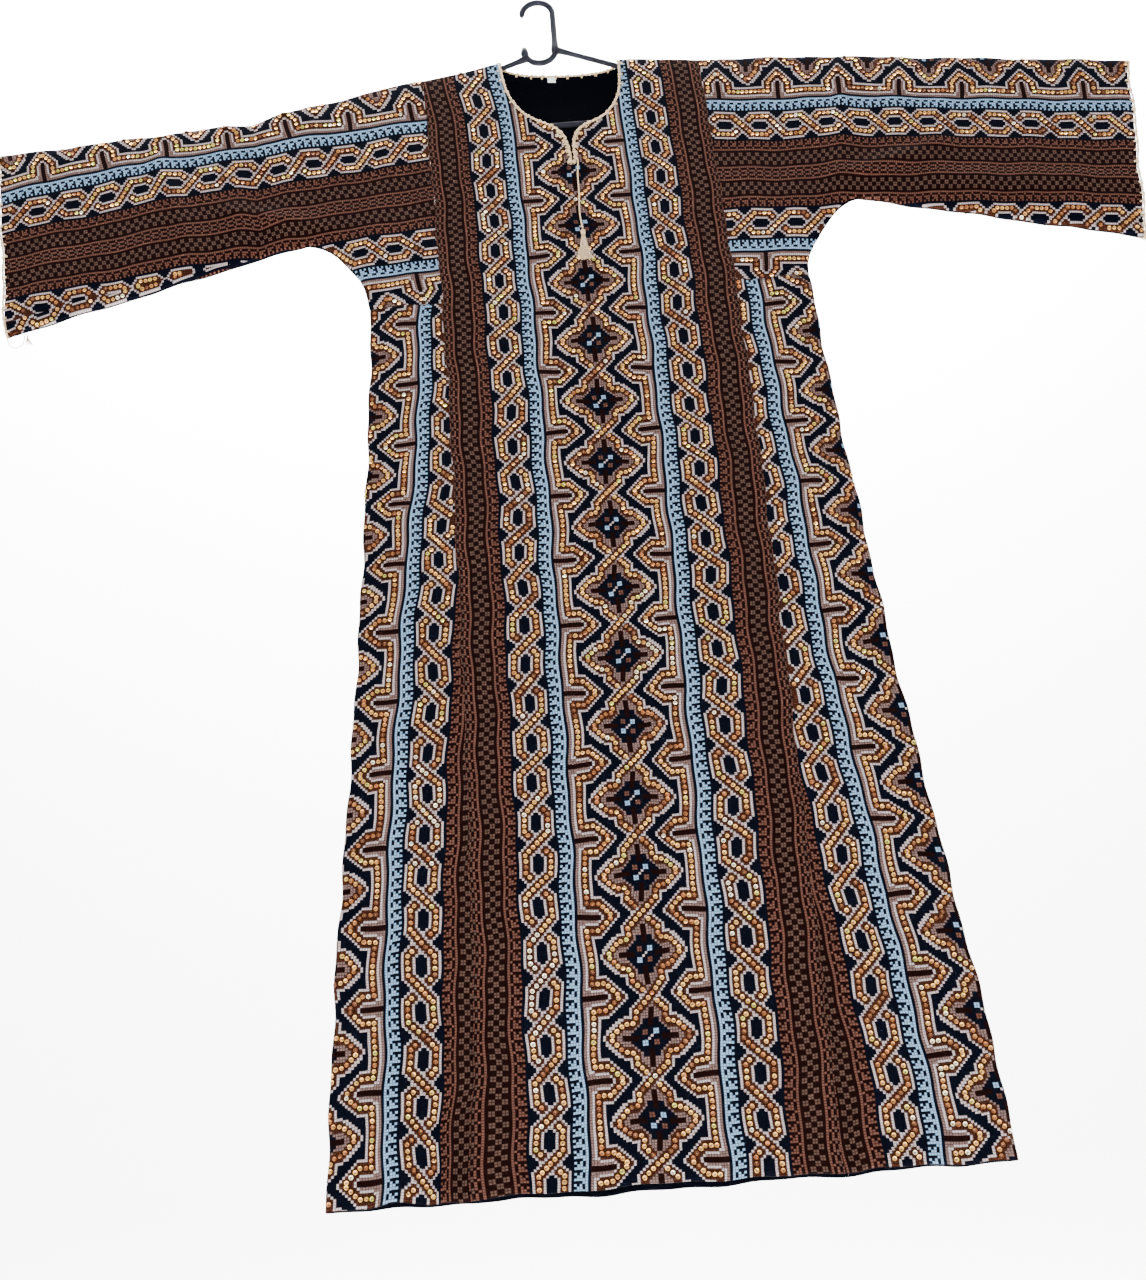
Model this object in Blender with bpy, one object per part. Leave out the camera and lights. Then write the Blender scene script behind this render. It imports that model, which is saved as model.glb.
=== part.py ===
"""A full-length embroidered dress with wide straight sleeves, held by a one-piece plastic hanger.

The origin is the inner top of the hanger's hook. +Z is up, +X is to the right of someone who looks
at the front, and the front faces -Y. Widths and heights of the cloth are those of the dress as it
hangs flat: x runs across from the dress's own middle line, z is the height below the hook. Sizes
are in metres.
"""

import math

import bmesh
import bpy
from mathutils import Vector

# Cloth
WALL = 0.0015
SEAM_GAP = 0.0004
SHOULDER_BEND = 0.00425
SIDE_BEND = 0.003
SLACK = 0.005
SLACK_REACH = 0.035
HEM_HEIGHT = -1.5245

# Centre panel, one piece from the front hem over the shoulders to the back hem
PANEL_HALF = 0.178
NECK_HALF = 0.078
NECK_DEPTH = 0.107
NECK_ROUNDNESS = 2.5
SLIT_END = 0.167
SLIT_HALF = 0.0043
SLIT_FLARE = 0.0045
SLIT_FLARE_DEPTH = 0.1245
SLIT_FLARE_REACH = 0.012
BACK_NECK_STEP = 0.006
BACK_NECK_CORNER = 0.012
BACK_NECK_CORNER_DROP = 0.005
BACK_NECK_SAG = 0.006

# Middle line, which leans a little from the plumb line
MIDDLE_X = 0.040
MIDDLE_HEIGHT = -0.7815
LEAN_TOP = 0.017
LEAN_TOP_REACH = 0.68
LEAN_HEM = 0.007

# Side gores and underarm
GORE_TOP = -0.4665
ARMPIT_ROUNDNESS = 1.6

# Depth of the mouth that the hem opens in the middle
MOUTH = 0.012
MOUTH_SPREAD = 0.12
MOUTH_REACH = 0.25

# Each side: neck corner and the fold from there to the cuff, lower end of the cuff, and armpit, as
# distance from the middle line and height
SIDES = {
    "left": {
        "sign": -1,
        "top": (
            (NECK_HALF, -0.0983),
            (0.1360, -0.1113),
            (0.3635, -0.1503),
            (0.3980, -0.1643),
            (0.4250, -0.1633),
            (0.7260, -0.1833),
        ),
        "cuff_bottom": (0.7090, -0.4605),
        "armpit": (0.3380, -0.3590),
    },
    "right": {
        "sign": 1,
        "top": (
            (NECK_HALF, -0.1093),
            (0.1815, -0.1173),
            (0.3270, -0.1273),
            (0.5405, -0.1523),
            (0.7175, -0.1743),
        ),
        "cuff_bottom": (0.6780, -0.4460),
        "armpit": (0.3460, -0.3550),
    },
}

# Distance of each side fold from the middle line: height, left, right
SIDE_ROWS = (
    (GORE_TOP, 0.2650, 0.2675),
    (-0.6500, 0.2755, 0.2735),
    (-0.9800, 0.2970, 0.2960),
    (-1.2600, 0.3190, 0.3240),
    (-1.4100, 0.3255, 0.3410),
    (HEM_HEIGHT, 0.3300, 0.3475),
)

# Largest folds: face, x and z at the start, x and z at the end, rise, spread
FOLDS = (
    ("front", -0.232, -1.120, -0.262, HEM_HEIGHT, 0.0130, 0.0150),
    ("front", -0.200, -1.060, -0.222, HEM_HEIGHT, -0.0060, 0.0160),
    ("front", -0.120, -0.950, -0.150, HEM_HEIGHT, 0.0050, 0.0300),
    ("front", 0.190, -0.820, 0.215, HEM_HEIGHT, 0.0070, 0.0220),
    ("front", 0.120, -1.050, 0.130, HEM_HEIGHT, -0.0040, 0.0260),
    ("front", 0.300, -0.330, 0.460, -0.285, 0.0040, 0.0120),
    ("front", -0.300, -0.340, -0.440, -0.300, 0.0040, 0.0120),
    ("back", -0.210, -0.900, -0.240, HEM_HEIGHT, 0.0080, 0.0240),
    ("back", -0.080, -1.000, -0.060, HEM_HEIGHT, 0.0060, 0.0300),
    ("back", 0.150, -0.850, 0.170, HEM_HEIGHT, 0.0070, 0.0260),
    ("back", 0.250, -1.150, 0.275, HEM_HEIGHT, -0.0050, 0.0160),
    ("back", 0.300, -0.340, 0.470, -0.290, 0.0040, 0.0120),
    ("back", -0.300, -0.335, -0.450, -0.295, 0.0040, 0.0120),
)
FACE_SIGN = {"front": -1.0, "back": 1.0}

# Spacing of a sleeve's columns
SLEEVE_STEP = 0.060

# Cream edging, tie cord, tassel and blank label
EDGING_RADIUS = 0.0015
EDGING_SEAT = EDGING_RADIUS + SEAM_GAP
CORD_RADIUS = 0.0009
TASSEL_HEAD_RADIUS = 0.0028
TASSEL_HEAD_LENGTH = 0.007
TASSEL_LENGTH = 0.046
TASSEL_FAN = 3.6
TASSEL_THICKEN = 0.5
STRAND_RADIUS = 0.0004
LABEL_MIDDLE = -0.016
LABEL_WIDTH = 0.011
LABEL_DROP = 0.014
LABEL_THICKNESS = 0.0008

# Hanger
TUBE_RADIUS = 0.0032
HOOK_RADIUS = 0.020
STEM_END = -0.0785
NUB_TOP = -0.0715
ARM_STARTS = {"left": (0.022, -0.0910), "right": (0.024, -0.0800)}
ARM_ROOT = 0.004
ARM_STRAIGHT = 0.168
END_RADIUS = 0.020
BAR_INSET = 0.018
BAR_HEIGHT = -0.2035
TUBE_SIDES = 8

BEND_ANGLES = (0, 30, 60, 90)


def clear_scene():
    for obj in list(bpy.data.objects):
        bpy.data.objects.remove(obj)


def material(name, colour, roughness):
    made = bpy.data.materials.new(name)
    made.use_nodes = True
    shader = made.node_tree.nodes["Principled BSDF"]
    shader.inputs["Base Color"].default_value = (*colour, 1.0)
    shader.inputs["Roughness"].default_value = roughness
    shader.inputs["Metallic"].default_value = 0.0
    return made


def interpolate(rows, height, column):
    """The value of one column of the side table at a height."""
    for upper, lower in zip(rows, rows[1:]):
        if height >= lower[0]:
            part = (upper[0] - height) / (upper[0] - lower[0])
            return upper[column] + max(part, 0.0) * (lower[column] - upper[column])
    return rows[-1][column]


def middle_line(z):
    """World x of the dress's middle line at a height."""
    if z > MIDDLE_HEIGHT:
        return MIDDLE_X - LEAN_TOP * ((z - MIDDLE_HEIGHT) / LEAN_TOP_REACH) ** 2
    return MIDDLE_X - LEAN_HEM * ((z - MIDDLE_HEIGHT) / (HEM_HEIGHT - MIDDLE_HEIGHT)) ** 2


def side_of(x):
    return SIDES["left"] if x < 0 else SIDES["right"]


def shoulder_line(x):
    """Height of the fold along shoulder and sleeve, at mid cloth."""
    if abs(x) <= NECK_HALF:
        left, right = SIDES["left"]["top"][0][1], SIDES["right"]["top"][0][1]
        return left + (right - left) * (x + NECK_HALF) / (2 * NECK_HALF)
    places = side_of(x)["top"]
    for (near, near_z), (far, far_z) in zip(places, places[1:]):
        if abs(x) <= far:
            break
    return near_z + (far_z - near_z) * (abs(x) - near) / (far - near)


def side_half(z, sign):
    return interpolate(SIDE_ROWS, z, 1 if sign < 0 else 2)


def sleeve_bottom(x):
    """Height of the sleeve's lower edge at a distance from the middle line, armpit curve included."""
    side = side_of(x)
    corner = side_half(GORE_TOP, side["sign"])
    armpit_x, armpit_z = side["armpit"]
    if abs(x) <= corner:
        return GORE_TOP
    if abs(x) < armpit_x:
        part = (armpit_x - abs(x)) / (armpit_x - corner)
        rise = (1 - part**ARMPIT_ROUNDNESS) ** (1 / ARMPIT_ROUNDNESS)
        return GORE_TOP + (armpit_z - GORE_TOP) * rise
    cuff_x, cuff_z = side["cuff_bottom"]
    return armpit_z + (cuff_z - armpit_z) * (abs(x) - armpit_x) / (cuff_x - armpit_x)


def side_outline(side):
    """Points from the hem up the side fold, round the armpit and out to the cuff's lower end."""
    points = []
    for row in reversed(SIDE_ROWS):
        points.append((row[1 if side["sign"] < 0 else 2], row[0]))
    corner = side_half(GORE_TOP, side["sign"])
    armpit_x = side["armpit"][0]
    for turn in (3, 10, 20, 35, 50, 65, 80):
        x = armpit_x - (armpit_x - corner) * math.cos(math.radians(turn))
        points.append((x, sleeve_bottom(side["sign"] * x)))
    points.append(side["armpit"])
    cuff_x, cuff_z = side["cuff_bottom"]
    reach = 1.05
    past_cuff = Vector(side["armpit"]).lerp(Vector((cuff_x, cuff_z)), reach)
    return [Vector(point) for point in points] + [past_cuff]


OUTLINES = {name: side_outline(side) for name, side in SIDES.items()}


def distance_to_edge(x, z):
    """Distance from a point of the cloth to the side fold, armpit or sleeve's lower edge."""
    outline = OUTLINES["left" if x < 0 else "right"]
    point = Vector((abs(x), z))
    nearest = math.inf
    for start, end in zip(outline, outline[1:]):
        along = end - start
        part = min(max((point - start).dot(along) / along.length_squared, 0.0), 1.0)
        nearest = min(nearest, (point - start - along * part).length)
    return nearest


def room(distance, bend):
    """Half the depth between front and back at a distance from a fold of the given bend radius."""
    distance = max(distance, 0.0)
    near = math.sqrt(distance * (2 * bend - distance)) if distance < bend else bend
    return near + SLACK * (1 - math.exp(-distance / SLACK_REACH))


def half_depth(x, z):
    """Half the depth between the front's and the back's mid cloth."""
    from_shoulder = room(shoulder_line(x) - z, SHOULDER_BEND)
    from_edge = room(distance_to_edge(x, z), SIDE_BEND)
    if min(from_shoulder, from_edge) <= 0:
        return 0.0
    body = (from_shoulder**-4 + from_edge**-4) ** -0.25
    mouth = MOUTH * math.exp(-((x / MOUTH_SPREAD) ** 2)) * math.exp((HEM_HEIGHT - z) / MOUTH_REACH)
    return body + mouth


def fold_rise(x, z, face):
    """How far the large folds lift the cloth outwards on one face."""
    total = 0.0
    for name, x0, z0, x1, z1, rise, spread in FOLDS:
        if name != face:
            continue
        along = Vector((x1 - x0, z1 - z0))
        offset = Vector((x - x0, z - z0))
        part = offset.dot(along) / along.length_squared
        if part <= 0:
            continue
        part = min(part, 1.15)
        if z1 == HEM_HEIGHT:
            growth = part * part * (3 - 2 * min(part, 1.0))
        else:
            growth = math.sin(part * math.pi / 1.15)
        away = abs(offset.x * along.y - offset.y * along.x) / along.length
        total += rise * growth * math.exp(-((away / spread) ** 2))
    return total


def cloth_point(x, z, face):
    """World place of mid cloth at a flat place of the front or the back."""
    depth = half_depth(x, z)
    calm = min(depth / SHOULDER_BEND, 1.0)
    out = depth + calm * fold_rise(x, z, face)
    return Vector((middle_line(z) + x, FACE_SIGN[face] * out, z))


def bend_steps(bend):
    """Distances from a fold that follow its round bend."""
    return [bend * (1 - math.cos(math.radians(angle))) for angle in BEND_ANGLES]


def thick_sheet(name, rows, shade):
    """A closed wall round a grid of mid cloth points. Its outer face is on the left of the rows."""
    count, width = len(rows), len(rows[0])
    sheet = bmesh.new()
    outer, inner = [], []
    for i, row in enumerate(rows):
        outer_row, inner_row = [], []
        for j, point in enumerate(row):
            along = rows[min(i + 1, count - 1)][j] - rows[max(i - 1, 0)][j]
            across = row[min(j + 1, width - 1)] - row[max(j - 1, 0)]
            normal = along.cross(across).normalized()
            outer_row.append(sheet.verts.new(point + normal * WALL / 2))
            inner_row.append(sheet.verts.new(point - normal * WALL / 2))
        outer.append(outer_row)
        inner.append(inner_row)
    for i in range(count - 1):
        for j in range(width - 1):
            sheet.faces.new((outer[i][j], outer[i + 1][j], outer[i + 1][j + 1], outer[i][j + 1]))
            sheet.faces.new((inner[i][j], inner[i][j + 1], inner[i + 1][j + 1], inner[i + 1][j]))
    rim = [(i, 0) for i in range(count)]
    rim += [(count - 1, j) for j in range(1, width)]
    rim += [(i, width - 1) for i in range(count - 2, -1, -1)]
    rim += [(0, j) for j in range(width - 2, 0, -1)]
    for (i, j), (k, m) in zip(rim, rim[1:] + rim[:1]):
        sheet.faces.new((outer[i][j], inner[i][j], inner[k][m], outer[k][m]))
    return add_object(name, finished_mesh(name, sheet), shade)


def finished_mesh(name, shape):
    """Turns a shape's faces outward and makes a mesh of it."""
    bmesh.ops.recalc_face_normals(shape, faces=shape.faces)
    mesh = bpy.data.meshes.new(name)
    shape.to_mesh(mesh)
    shape.free()
    return mesh


def add_helper(name, shape):
    """An object that only a Boolean uses."""
    obj = bpy.data.objects.new(name, finished_mesh(name, shape))
    bpy.context.collection.objects.link(obj)
    obj.hide_render = True
    obj.display_type = "WIRE"
    return obj


def skin(shape, loops, closed=False):
    """Faces from each ring of corners to the next, with flat ends unless the last meets the first."""
    pairs = list(zip(loops, loops[1:]))
    if closed:
        pairs.append((loops[-1], loops[0]))
    for one, other in pairs:
        for k in range(len(one)):
            m = (k + 1) % len(one)
            shape.faces.new((one[k], one[m], other[m], other[k]))
    if not closed:
        shape.faces.new(list(reversed(loops[0])))
        shape.faces.new(loops[-1])


def add_object(name, mesh, shade):
    obj = bpy.data.objects.new(name, mesh)
    bpy.context.collection.objects.link(obj)
    mesh.materials.append(shade)
    mesh.shade_smooth()
    mesh.set_sharp_from_angle(angle=math.radians(50))
    return obj


def neck_depths():
    """Depths below the shoulder line that draw the round neck and then the slit."""
    turns = [math.radians(angle) for angle in (0, 14, 26, 38, 50, 60, 70, 78)]
    depths = [NECK_DEPTH * math.sin(turn) for turn in turns]
    depths += [NECK_DEPTH + step for step in (0.001, 0.006, 0.012, 0.020, 0.032, 0.046)]
    return depths + [SLIT_END]


def neck_half(depth):
    """Half the width of the front neck and its slit at a depth below the shoulder line."""
    flare = math.exp((SLIT_FLARE_DEPTH - depth) / SLIT_FLARE_REACH)
    slit = SLIT_HALF + min(SLIT_FLARE * flare, 0.030)
    if depth >= NECK_DEPTH:
        return slit
    bowl = NECK_HALF * (1 - (depth / NECK_DEPTH) ** NECK_ROUNDNESS) ** (1 / NECK_ROUNDNESS)
    return max(bowl, slit)


def front_neck_outline():
    """Flat points of the front neck from the left corner down to the slit's end and up again."""
    depths = neck_depths()
    left = [(-neck_half(depth), depth) for depth in depths]
    right = [(neck_half(depth), depth) for depth in reversed(depths)]
    return [Vector((x, shoulder_line(x) - depth)) for x, depth in left + right]


def back_neck_drop(x):
    """Depth of the back neck below the shoulder line."""
    from_corner = min(max((NECK_HALF - abs(x)) / BACK_NECK_CORNER, 0.0), 1.0)
    corner = BACK_NECK_CORNER_DROP * math.sqrt(1 - (1 - from_corner) ** 2)
    sag = BACK_NECK_SAG * (1 - (x / NECK_HALF) ** 2)
    return BACK_NECK_STEP + corner + sag


def back_neck_outline():
    """Flat points of the back neck from the right corner to the left one."""
    half = [NECK_HALF - step for step in (0.0, 0.0008, 0.003, 0.007, 0.012, 0.028, 0.052)]
    xs = half + [0.0] + [-x for x in reversed(half)]
    curve = [Vector((x, shoulder_line(x) - back_neck_drop(x))) for x in xs]
    corners = [Vector((x, shoulder_line(x))) for x in (NECK_HALF, -NECK_HALF)]
    return [corners[0], *curve, corners[1]]


def inset(points, distance):
    """A flat line moved to the left of its own direction, or to the right if the distance is negative."""
    moved = []
    for i, point in enumerate(points):
        arriving = (point - points[i - 1]).normalized() if i > 0 else None
        leaving = (points[i + 1] - point).normalized() if i + 1 < len(points) else arriving
        arriving = arriving or leaving
        along = (arriving + leaving).normalized()
        mitre = distance / max(along.dot(leaving), 0.6)
        moved.append(point + Vector((-along.y, along.x)) * mitre)
    return moved


def neck_cutter(name, outline, near, far):
    """A prism through one face of the dress that cuts the neck."""
    top = 0.02
    flat = list(outline) + [
        Vector((outline[-1].x, top)),
        Vector((outline[0].x, top)),
    ]
    prism = bmesh.new()
    ring_near = [prism.verts.new((middle_line(p.y) + p.x, near, p.y)) for p in flat]
    ring_far = [prism.verts.new((middle_line(p.y) + p.x, far, p.y)) for p in flat]
    skin(prism, [ring_near, ring_far])
    return add_helper(name, prism)


def cut(obj, cutter):
    modifier = obj.modifiers.new("cut " + cutter.name, "BOOLEAN")
    modifier.operation = "DIFFERENCE"
    modifier.object = cutter


def join(obj, other):
    modifier = obj.modifiers.new("join " + other.name, "BOOLEAN")
    modifier.operation = "UNION"
    modifier.object = other


def centre_panel(cloth):
    """The panel from the front hem over the shoulders to the back hem, with neck and slit."""
    half = PANEL_HALF - SEAM_GAP / 2
    columns = 12
    long_rows = 34
    near = bend_steps(SHOULDER_BEND) + [0.012, 0.024]
    rows = []
    for face in ("front", "back"):
        face_rows = []
        for i in range(len(near) + long_rows):
            row = []
            for j in range(columns + 1):
                x = -half + 2 * half * j / columns
                top = shoulder_line(x)
                if i < len(near):
                    z = top - near[i]
                else:
                    part = (i - len(near) + 1) / long_rows
                    start = top - near[-1]
                    z = start + (HEM_HEIGHT - start) * part
                row.append(cloth_point(x, z, face))
            face_rows.append(row)
        if face == "front":
            rows = list(reversed(face_rows))
        else:
            rows += face_rows[1:]
    panel = thick_sheet("centre_panel", rows, cloth)
    beyond = 0.04
    cut(panel, neck_cutter("front neck cutter", front_neck_outline(), -beyond, 0.0))
    cut(panel, neck_cutter("back neck cutter", back_neck_outline(), 0.0, beyond))
    return panel


def sleeve_columns(side):
    """Upper and lower flat x of each column of a sleeve, from the panel's seam to the cuff."""
    corner = side_half(GORE_TOP, side["sign"])
    armpit_x = side["armpit"][0]
    start = PANEL_HALF + SEAM_GAP / 2
    columns = [(x, x) for x in (start, start + 0.03, start + 0.06, corner - 0.0005)]
    for turn in (22, 40, 58, 75, 90):
        x = armpit_x - (armpit_x - corner) * math.cos(math.radians(turn))
        columns.append((x, x))
    top_end, bottom_end = side["top"][-1][0], side["cuff_bottom"][0]
    bends = [x for x, z in side["top"][:-1] if x > armpit_x + SLEEVE_STEP / 3]
    steps = round((top_end - armpit_x) / SLEEVE_STEP)
    even = [armpit_x + (top_end - armpit_x) * i / steps for i in range(1, steps + 1)]
    clear = [x for x in even if all(abs(x - bend) > SLEEVE_STEP / 2 for bend in bends)]
    for top_x in sorted(bends + clear):
        part = (top_x - armpit_x) / (top_end - armpit_x)
        columns.append((top_x, armpit_x + (bottom_end - armpit_x) * part))
    return columns


def sleeve_line(side, top_x, bottom_x, face):
    """Mid cloth points from the shoulder fold down to the sleeve's lower edge."""
    sign = side["sign"]
    corner = side_half(GORE_TOP, sign)
    top_z = shoulder_line(sign * top_x)
    bottom_z = sleeve_bottom(sign * bottom_x)
    on_gore = bottom_x < corner
    lift = SEAM_GAP / 2 if on_gore else 0.00015
    bottom_z += lift
    length = top_z - bottom_z
    near = bend_steps(SHOULDER_BEND)
    falls = near + [0.014, 0.032]
    middle_steps = 4
    last = length - 0.008
    falls += [falls[-1] + (last - falls[-1]) * i / middle_steps for i in range(1, middle_steps + 1)]
    falls += [length - part * SIDE_BEND for part in (1.0, 0.4)] + [length]
    line = []
    for fall in falls:
        part = fall / length
        x = top_x + (bottom_x - top_x) * part
        point = cloth_point(sign * x, top_z - fall, face)
        if fall > near[-1]:
            least = WALL / 2 + SEAM_GAP / 2
            point.y = FACE_SIGN[face] * max(abs(point.y), least)
        line.append(point)
    return line


def sleeve(name, side, cloth):
    """One sleeve, a single piece folded along the shoulder and sewn below the arm."""
    rows = []
    for top_x, bottom_x in sleeve_columns(side):
        front = sleeve_line(side, top_x, bottom_x, "front")
        back = sleeve_line(side, top_x, bottom_x, "back")
        rows.append(list(reversed(front)) + back[1:])
    if side["sign"] > 0:
        rows.reverse()
    return thick_sheet(name, rows, cloth)


def gore(name, side, cloth):
    """One side gore, a single piece folded along the dress's side."""
    sign = side["sign"]
    long_rows = 26
    top = GORE_TOP - SEAM_GAP / 2
    rows = []
    for i in range(long_rows + 1):
        z = top + (HEM_HEIGHT - top) * i / long_rows
        edge = side_half(z, sign)
        inner = PANEL_HALF + SEAM_GAP / 2
        width = edge - inner
        steps = bend_steps(SIDE_BEND) + [0.010, 0.024]
        steps += [0.024 + (width - 0.024) * k / 4 for k in range(1, 5)]
        front = [cloth_point(sign * (edge - step), z, "front") for step in steps]
        back = [cloth_point(sign * (edge - step), z, "back") for step in steps]
        rows.append(list(reversed(front)) + back[1:])
    if sign < 0:
        rows.reverse()
    return thick_sheet(name, rows, cloth)


def sweep(name, points, radius, sides, shade, closed=False):
    """A round bar along a line of points, with flat ends unless it is closed."""
    count = len(points)
    frames = []
    upward = None
    for i, point in enumerate(points):
        if closed:
            along = (points[(i + 1) % count] - points[i - 1]).normalized()
        else:
            along = (points[min(i + 1, count - 1)] - points[max(i - 1, 0)]).normalized()
        if upward is None:
            start = Vector((0, 1, 0)) if abs(along.y) < 0.9 else Vector((1, 0, 0))
            upward = (start - along * start.dot(along)).normalized()
        else:
            upward = (upward - along * upward.dot(along)).normalized()
        frames.append((point, upward.copy(), along.cross(upward)))
    turn = 0.0
    if closed:
        along = (points[1] - points[-1]).normalized()
        carried = (upward - along * upward.dot(along)).normalized()
        _, first, second = frames[0]
        turn = math.atan2(carried.dot(second), carried.dot(first))
    bar = bmesh.new()
    rings = []
    for i, (point, first, second) in enumerate(frames):
        ring = []
        for k in range(sides):
            angle = 2 * math.pi * k / sides - turn * i / count
            edge = first * math.cos(angle) + second * math.sin(angle)
            ring.append(bar.verts.new(point + radius * edge))
        rings.append(ring)
    skin(bar, rings, closed)
    return add_object(name, finished_mesh(name, bar), shade)


def neck_edging(cream):
    """The edging that runs round the neck and both sides of the slit, just inside the cut edge."""
    front = inset(front_neck_outline(), EDGING_SEAT)
    back = inset(back_neck_outline(), -EDGING_SEAT)
    path = []
    bend = [angle for angle in BEND_ANGLES if angle > 0]
    corner_left = -(NECK_HALF - EDGING_SEAT)
    for face, line in (("front", front), ("back", back)):
        for point in line:
            if shoulder_line(point.x) - point.y > SHOULDER_BEND * 1.6:
                path.append(cloth_point(point.x, point.y, face))
        corner = -corner_left if face == "front" else corner_left
        first, second = ("front", "back") if face == "front" else ("back", "front")
        drops = [SHOULDER_BEND * (1 - math.cos(math.radians(angle))) for angle in reversed(bend)]
        path += [cloth_point(corner, shoulder_line(corner) - drop, first) for drop in drops]
        path.append(cloth_point(corner, shoulder_line(corner), first))
        path += [cloth_point(corner, shoulder_line(corner) - drop, second) for drop in reversed(drops)]
    return sweep("neck_edging", path, EDGING_RADIUS, 6, cream, closed=True)


def cuff_edging(name, side, cream):
    """The edging that runs round one cuff."""
    sign = side["sign"]
    top_x = side["top"][-1][0] + EDGING_SEAT
    bottom_x = side["cuff_bottom"][0] + EDGING_SEAT
    top_z = shoulder_line(sign * top_x)
    bottom_z = sleeve_bottom(sign * bottom_x)
    length = top_z - bottom_z
    falls = bend_steps(SHOULDER_BEND) + [0.014, 0.035, 0.065]
    middle = [length * part for part in (0.36, 0.5, 0.64, 0.78, 0.9)]
    ending = [length - step for step in reversed(bend_steps(SIDE_BEND))]
    path = []
    for face in ("front", "back"):
        line = []
        for fall in falls + middle + ending:
            x = top_x + (bottom_x - top_x) * fall / length
            line.append(cloth_point(sign * x, top_z - fall, face))
        path += line if face == "front" else list(reversed(line))[1:-1]
    return sweep(name, path, EDGING_RADIUS, 6, cream, closed=True)


def neck_label(white):
    """A small blank label that hangs inside the back neck."""
    rows = []
    start = 0.0006
    for i in range(4):
        row = []
        for j in range(3):
            x = LABEL_MIDDLE + LABEL_WIDTH * (j / 2 - 0.5)
            z = shoulder_line(x) - back_neck_drop(x) - start - LABEL_DROP * i / 3
            point = cloth_point(x, z, "back")
            point.y -= WALL / 2 + SEAM_GAP + LABEL_THICKNESS / 2
            row.append(point)
        rows.append(row)
    label = bmesh.new()
    sheets = []
    for offset in (-LABEL_THICKNESS / 2, LABEL_THICKNESS / 2):
        sheets.append([[label.verts.new(p + Vector((0, offset, 0))) for p in row] for row in rows])
    for sheet in sheets:
        for i in range(3):
            for j in range(2):
                label.faces.new((sheet[i][j], sheet[i + 1][j], sheet[i + 1][j + 1], sheet[i][j + 1]))
    rim = [(0, 0), (1, 0), (2, 0), (3, 0), (3, 1), (3, 2), (2, 2), (1, 2), (0, 2), (0, 1)]
    near, far = sheets
    for (i, j), (k, m) in zip(rim, rim[1:] + rim[:1]):
        label.faces.new((near[i][j], near[k][m], far[k][m], far[i][j]))
    return add_object("neck_label", finished_mesh("neck_label", label), white)


def tie_start():
    """Where the tie cord leaves the edging at the right side of the slit, in front of it."""
    x = neck_half(SLIT_END * 0.95) - EDGING_SEAT
    z = shoulder_line(x) - SLIT_END * 0.95
    point = cloth_point(x, z, "front")
    point.y -= EDGING_RADIUS + SEAM_GAP + CORD_RADIUS
    return point


def tie_route():
    """The cord's own points: off the edging, then plumb down in front of the panel."""
    start = tie_start()
    clear = WALL / 2 + SEAM_GAP + CORD_RADIUS + 0.0004
    places = ((0.0062, -0.268), (0.0048, -0.290), (0.0030, -0.320), (0.0012, -0.350), (0.0004, -0.376))
    route = [start]
    for x, z in places:
        point = cloth_point(x, z, "front")
        point.y -= clear
        route.append(point)
    route[-1].y = tassel_top().y
    route[-2].y = (route[-3].y + route[-1].y) / 2
    return route


def tassel_top():
    """Top of the tassel's head, clear of the panel."""
    point = cloth_point(0.0002, -0.3775, "front")
    point.y -= WALL / 2 + SEAM_GAP + TASSEL_HEAD_RADIUS + 0.0008
    return point


def smooth_route(points, spacing):
    """Points along a smooth curve through the route's own points."""
    curve = []
    for i in range(len(points) - 1):
        before = points[max(i - 1, 0)]
        start, end = points[i], points[i + 1]
        after = points[min(i + 2, len(points) - 1)]
        steps = max(2, round((end - start).length / spacing))
        for k in range(steps):
            t = k / steps
            curve.append(
                0.5
                * (
                    2 * start
                    + (end - before) * t
                    + (2 * before - 5 * start + 4 * end - after) * t * t
                    + (3 * start - before - 3 * end + after) * t**3
                )
            )
    curve.append(points[-1])
    return curve


def tie_cord(cream):
    """The cream cord that ties the neck, as a curve with a round bevel."""
    curve = bpy.data.curves.new("tie_cord", "CURVE")
    curve.dimensions = "3D"
    curve.bevel_depth = CORD_RADIUS
    curve.bevel_resolution = 2
    curve.use_fill_caps = True
    route = smooth_route(tie_route(), 5 * CORD_RADIUS)
    spline = curve.splines.new("POLY")
    spline.points.add(len(route) - 1)
    for slot, point in zip(spline.points, route):
        slot.co = (*point, 1.0)
    curve.materials.append(cream)
    obj = bpy.data.objects.new("tie_cord", curve)
    bpy.context.collection.objects.link(obj)
    return obj


def tassel(cream):
    """The tassel: a round head with separate strands that fan out below it."""
    top = tassel_top() - Vector((0, 0, SEAM_GAP))
    shape = bmesh.new()
    sides = 10
    loops = []
    for part, width in ((0.0, 0.55), (0.2, 0.95), (0.6, 1.0), (1.0, 0.8)):
        loop = []
        for k in range(sides):
            angle = 2 * math.pi * k / sides
            radius = TASSEL_HEAD_RADIUS * width
            drop = Vector((0, 0, -part * TASSEL_HEAD_LENGTH))
            edge = Vector((math.cos(angle), math.sin(angle), 0)) * radius
            loop.append(shape.verts.new(top + drop + edge))
        loops.append(loop)
    skin(shape, loops)
    head = add_object("tassel", finished_mesh("tassel", shape), cream)
    join(head, tassel_strands(top))
    return head


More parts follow.
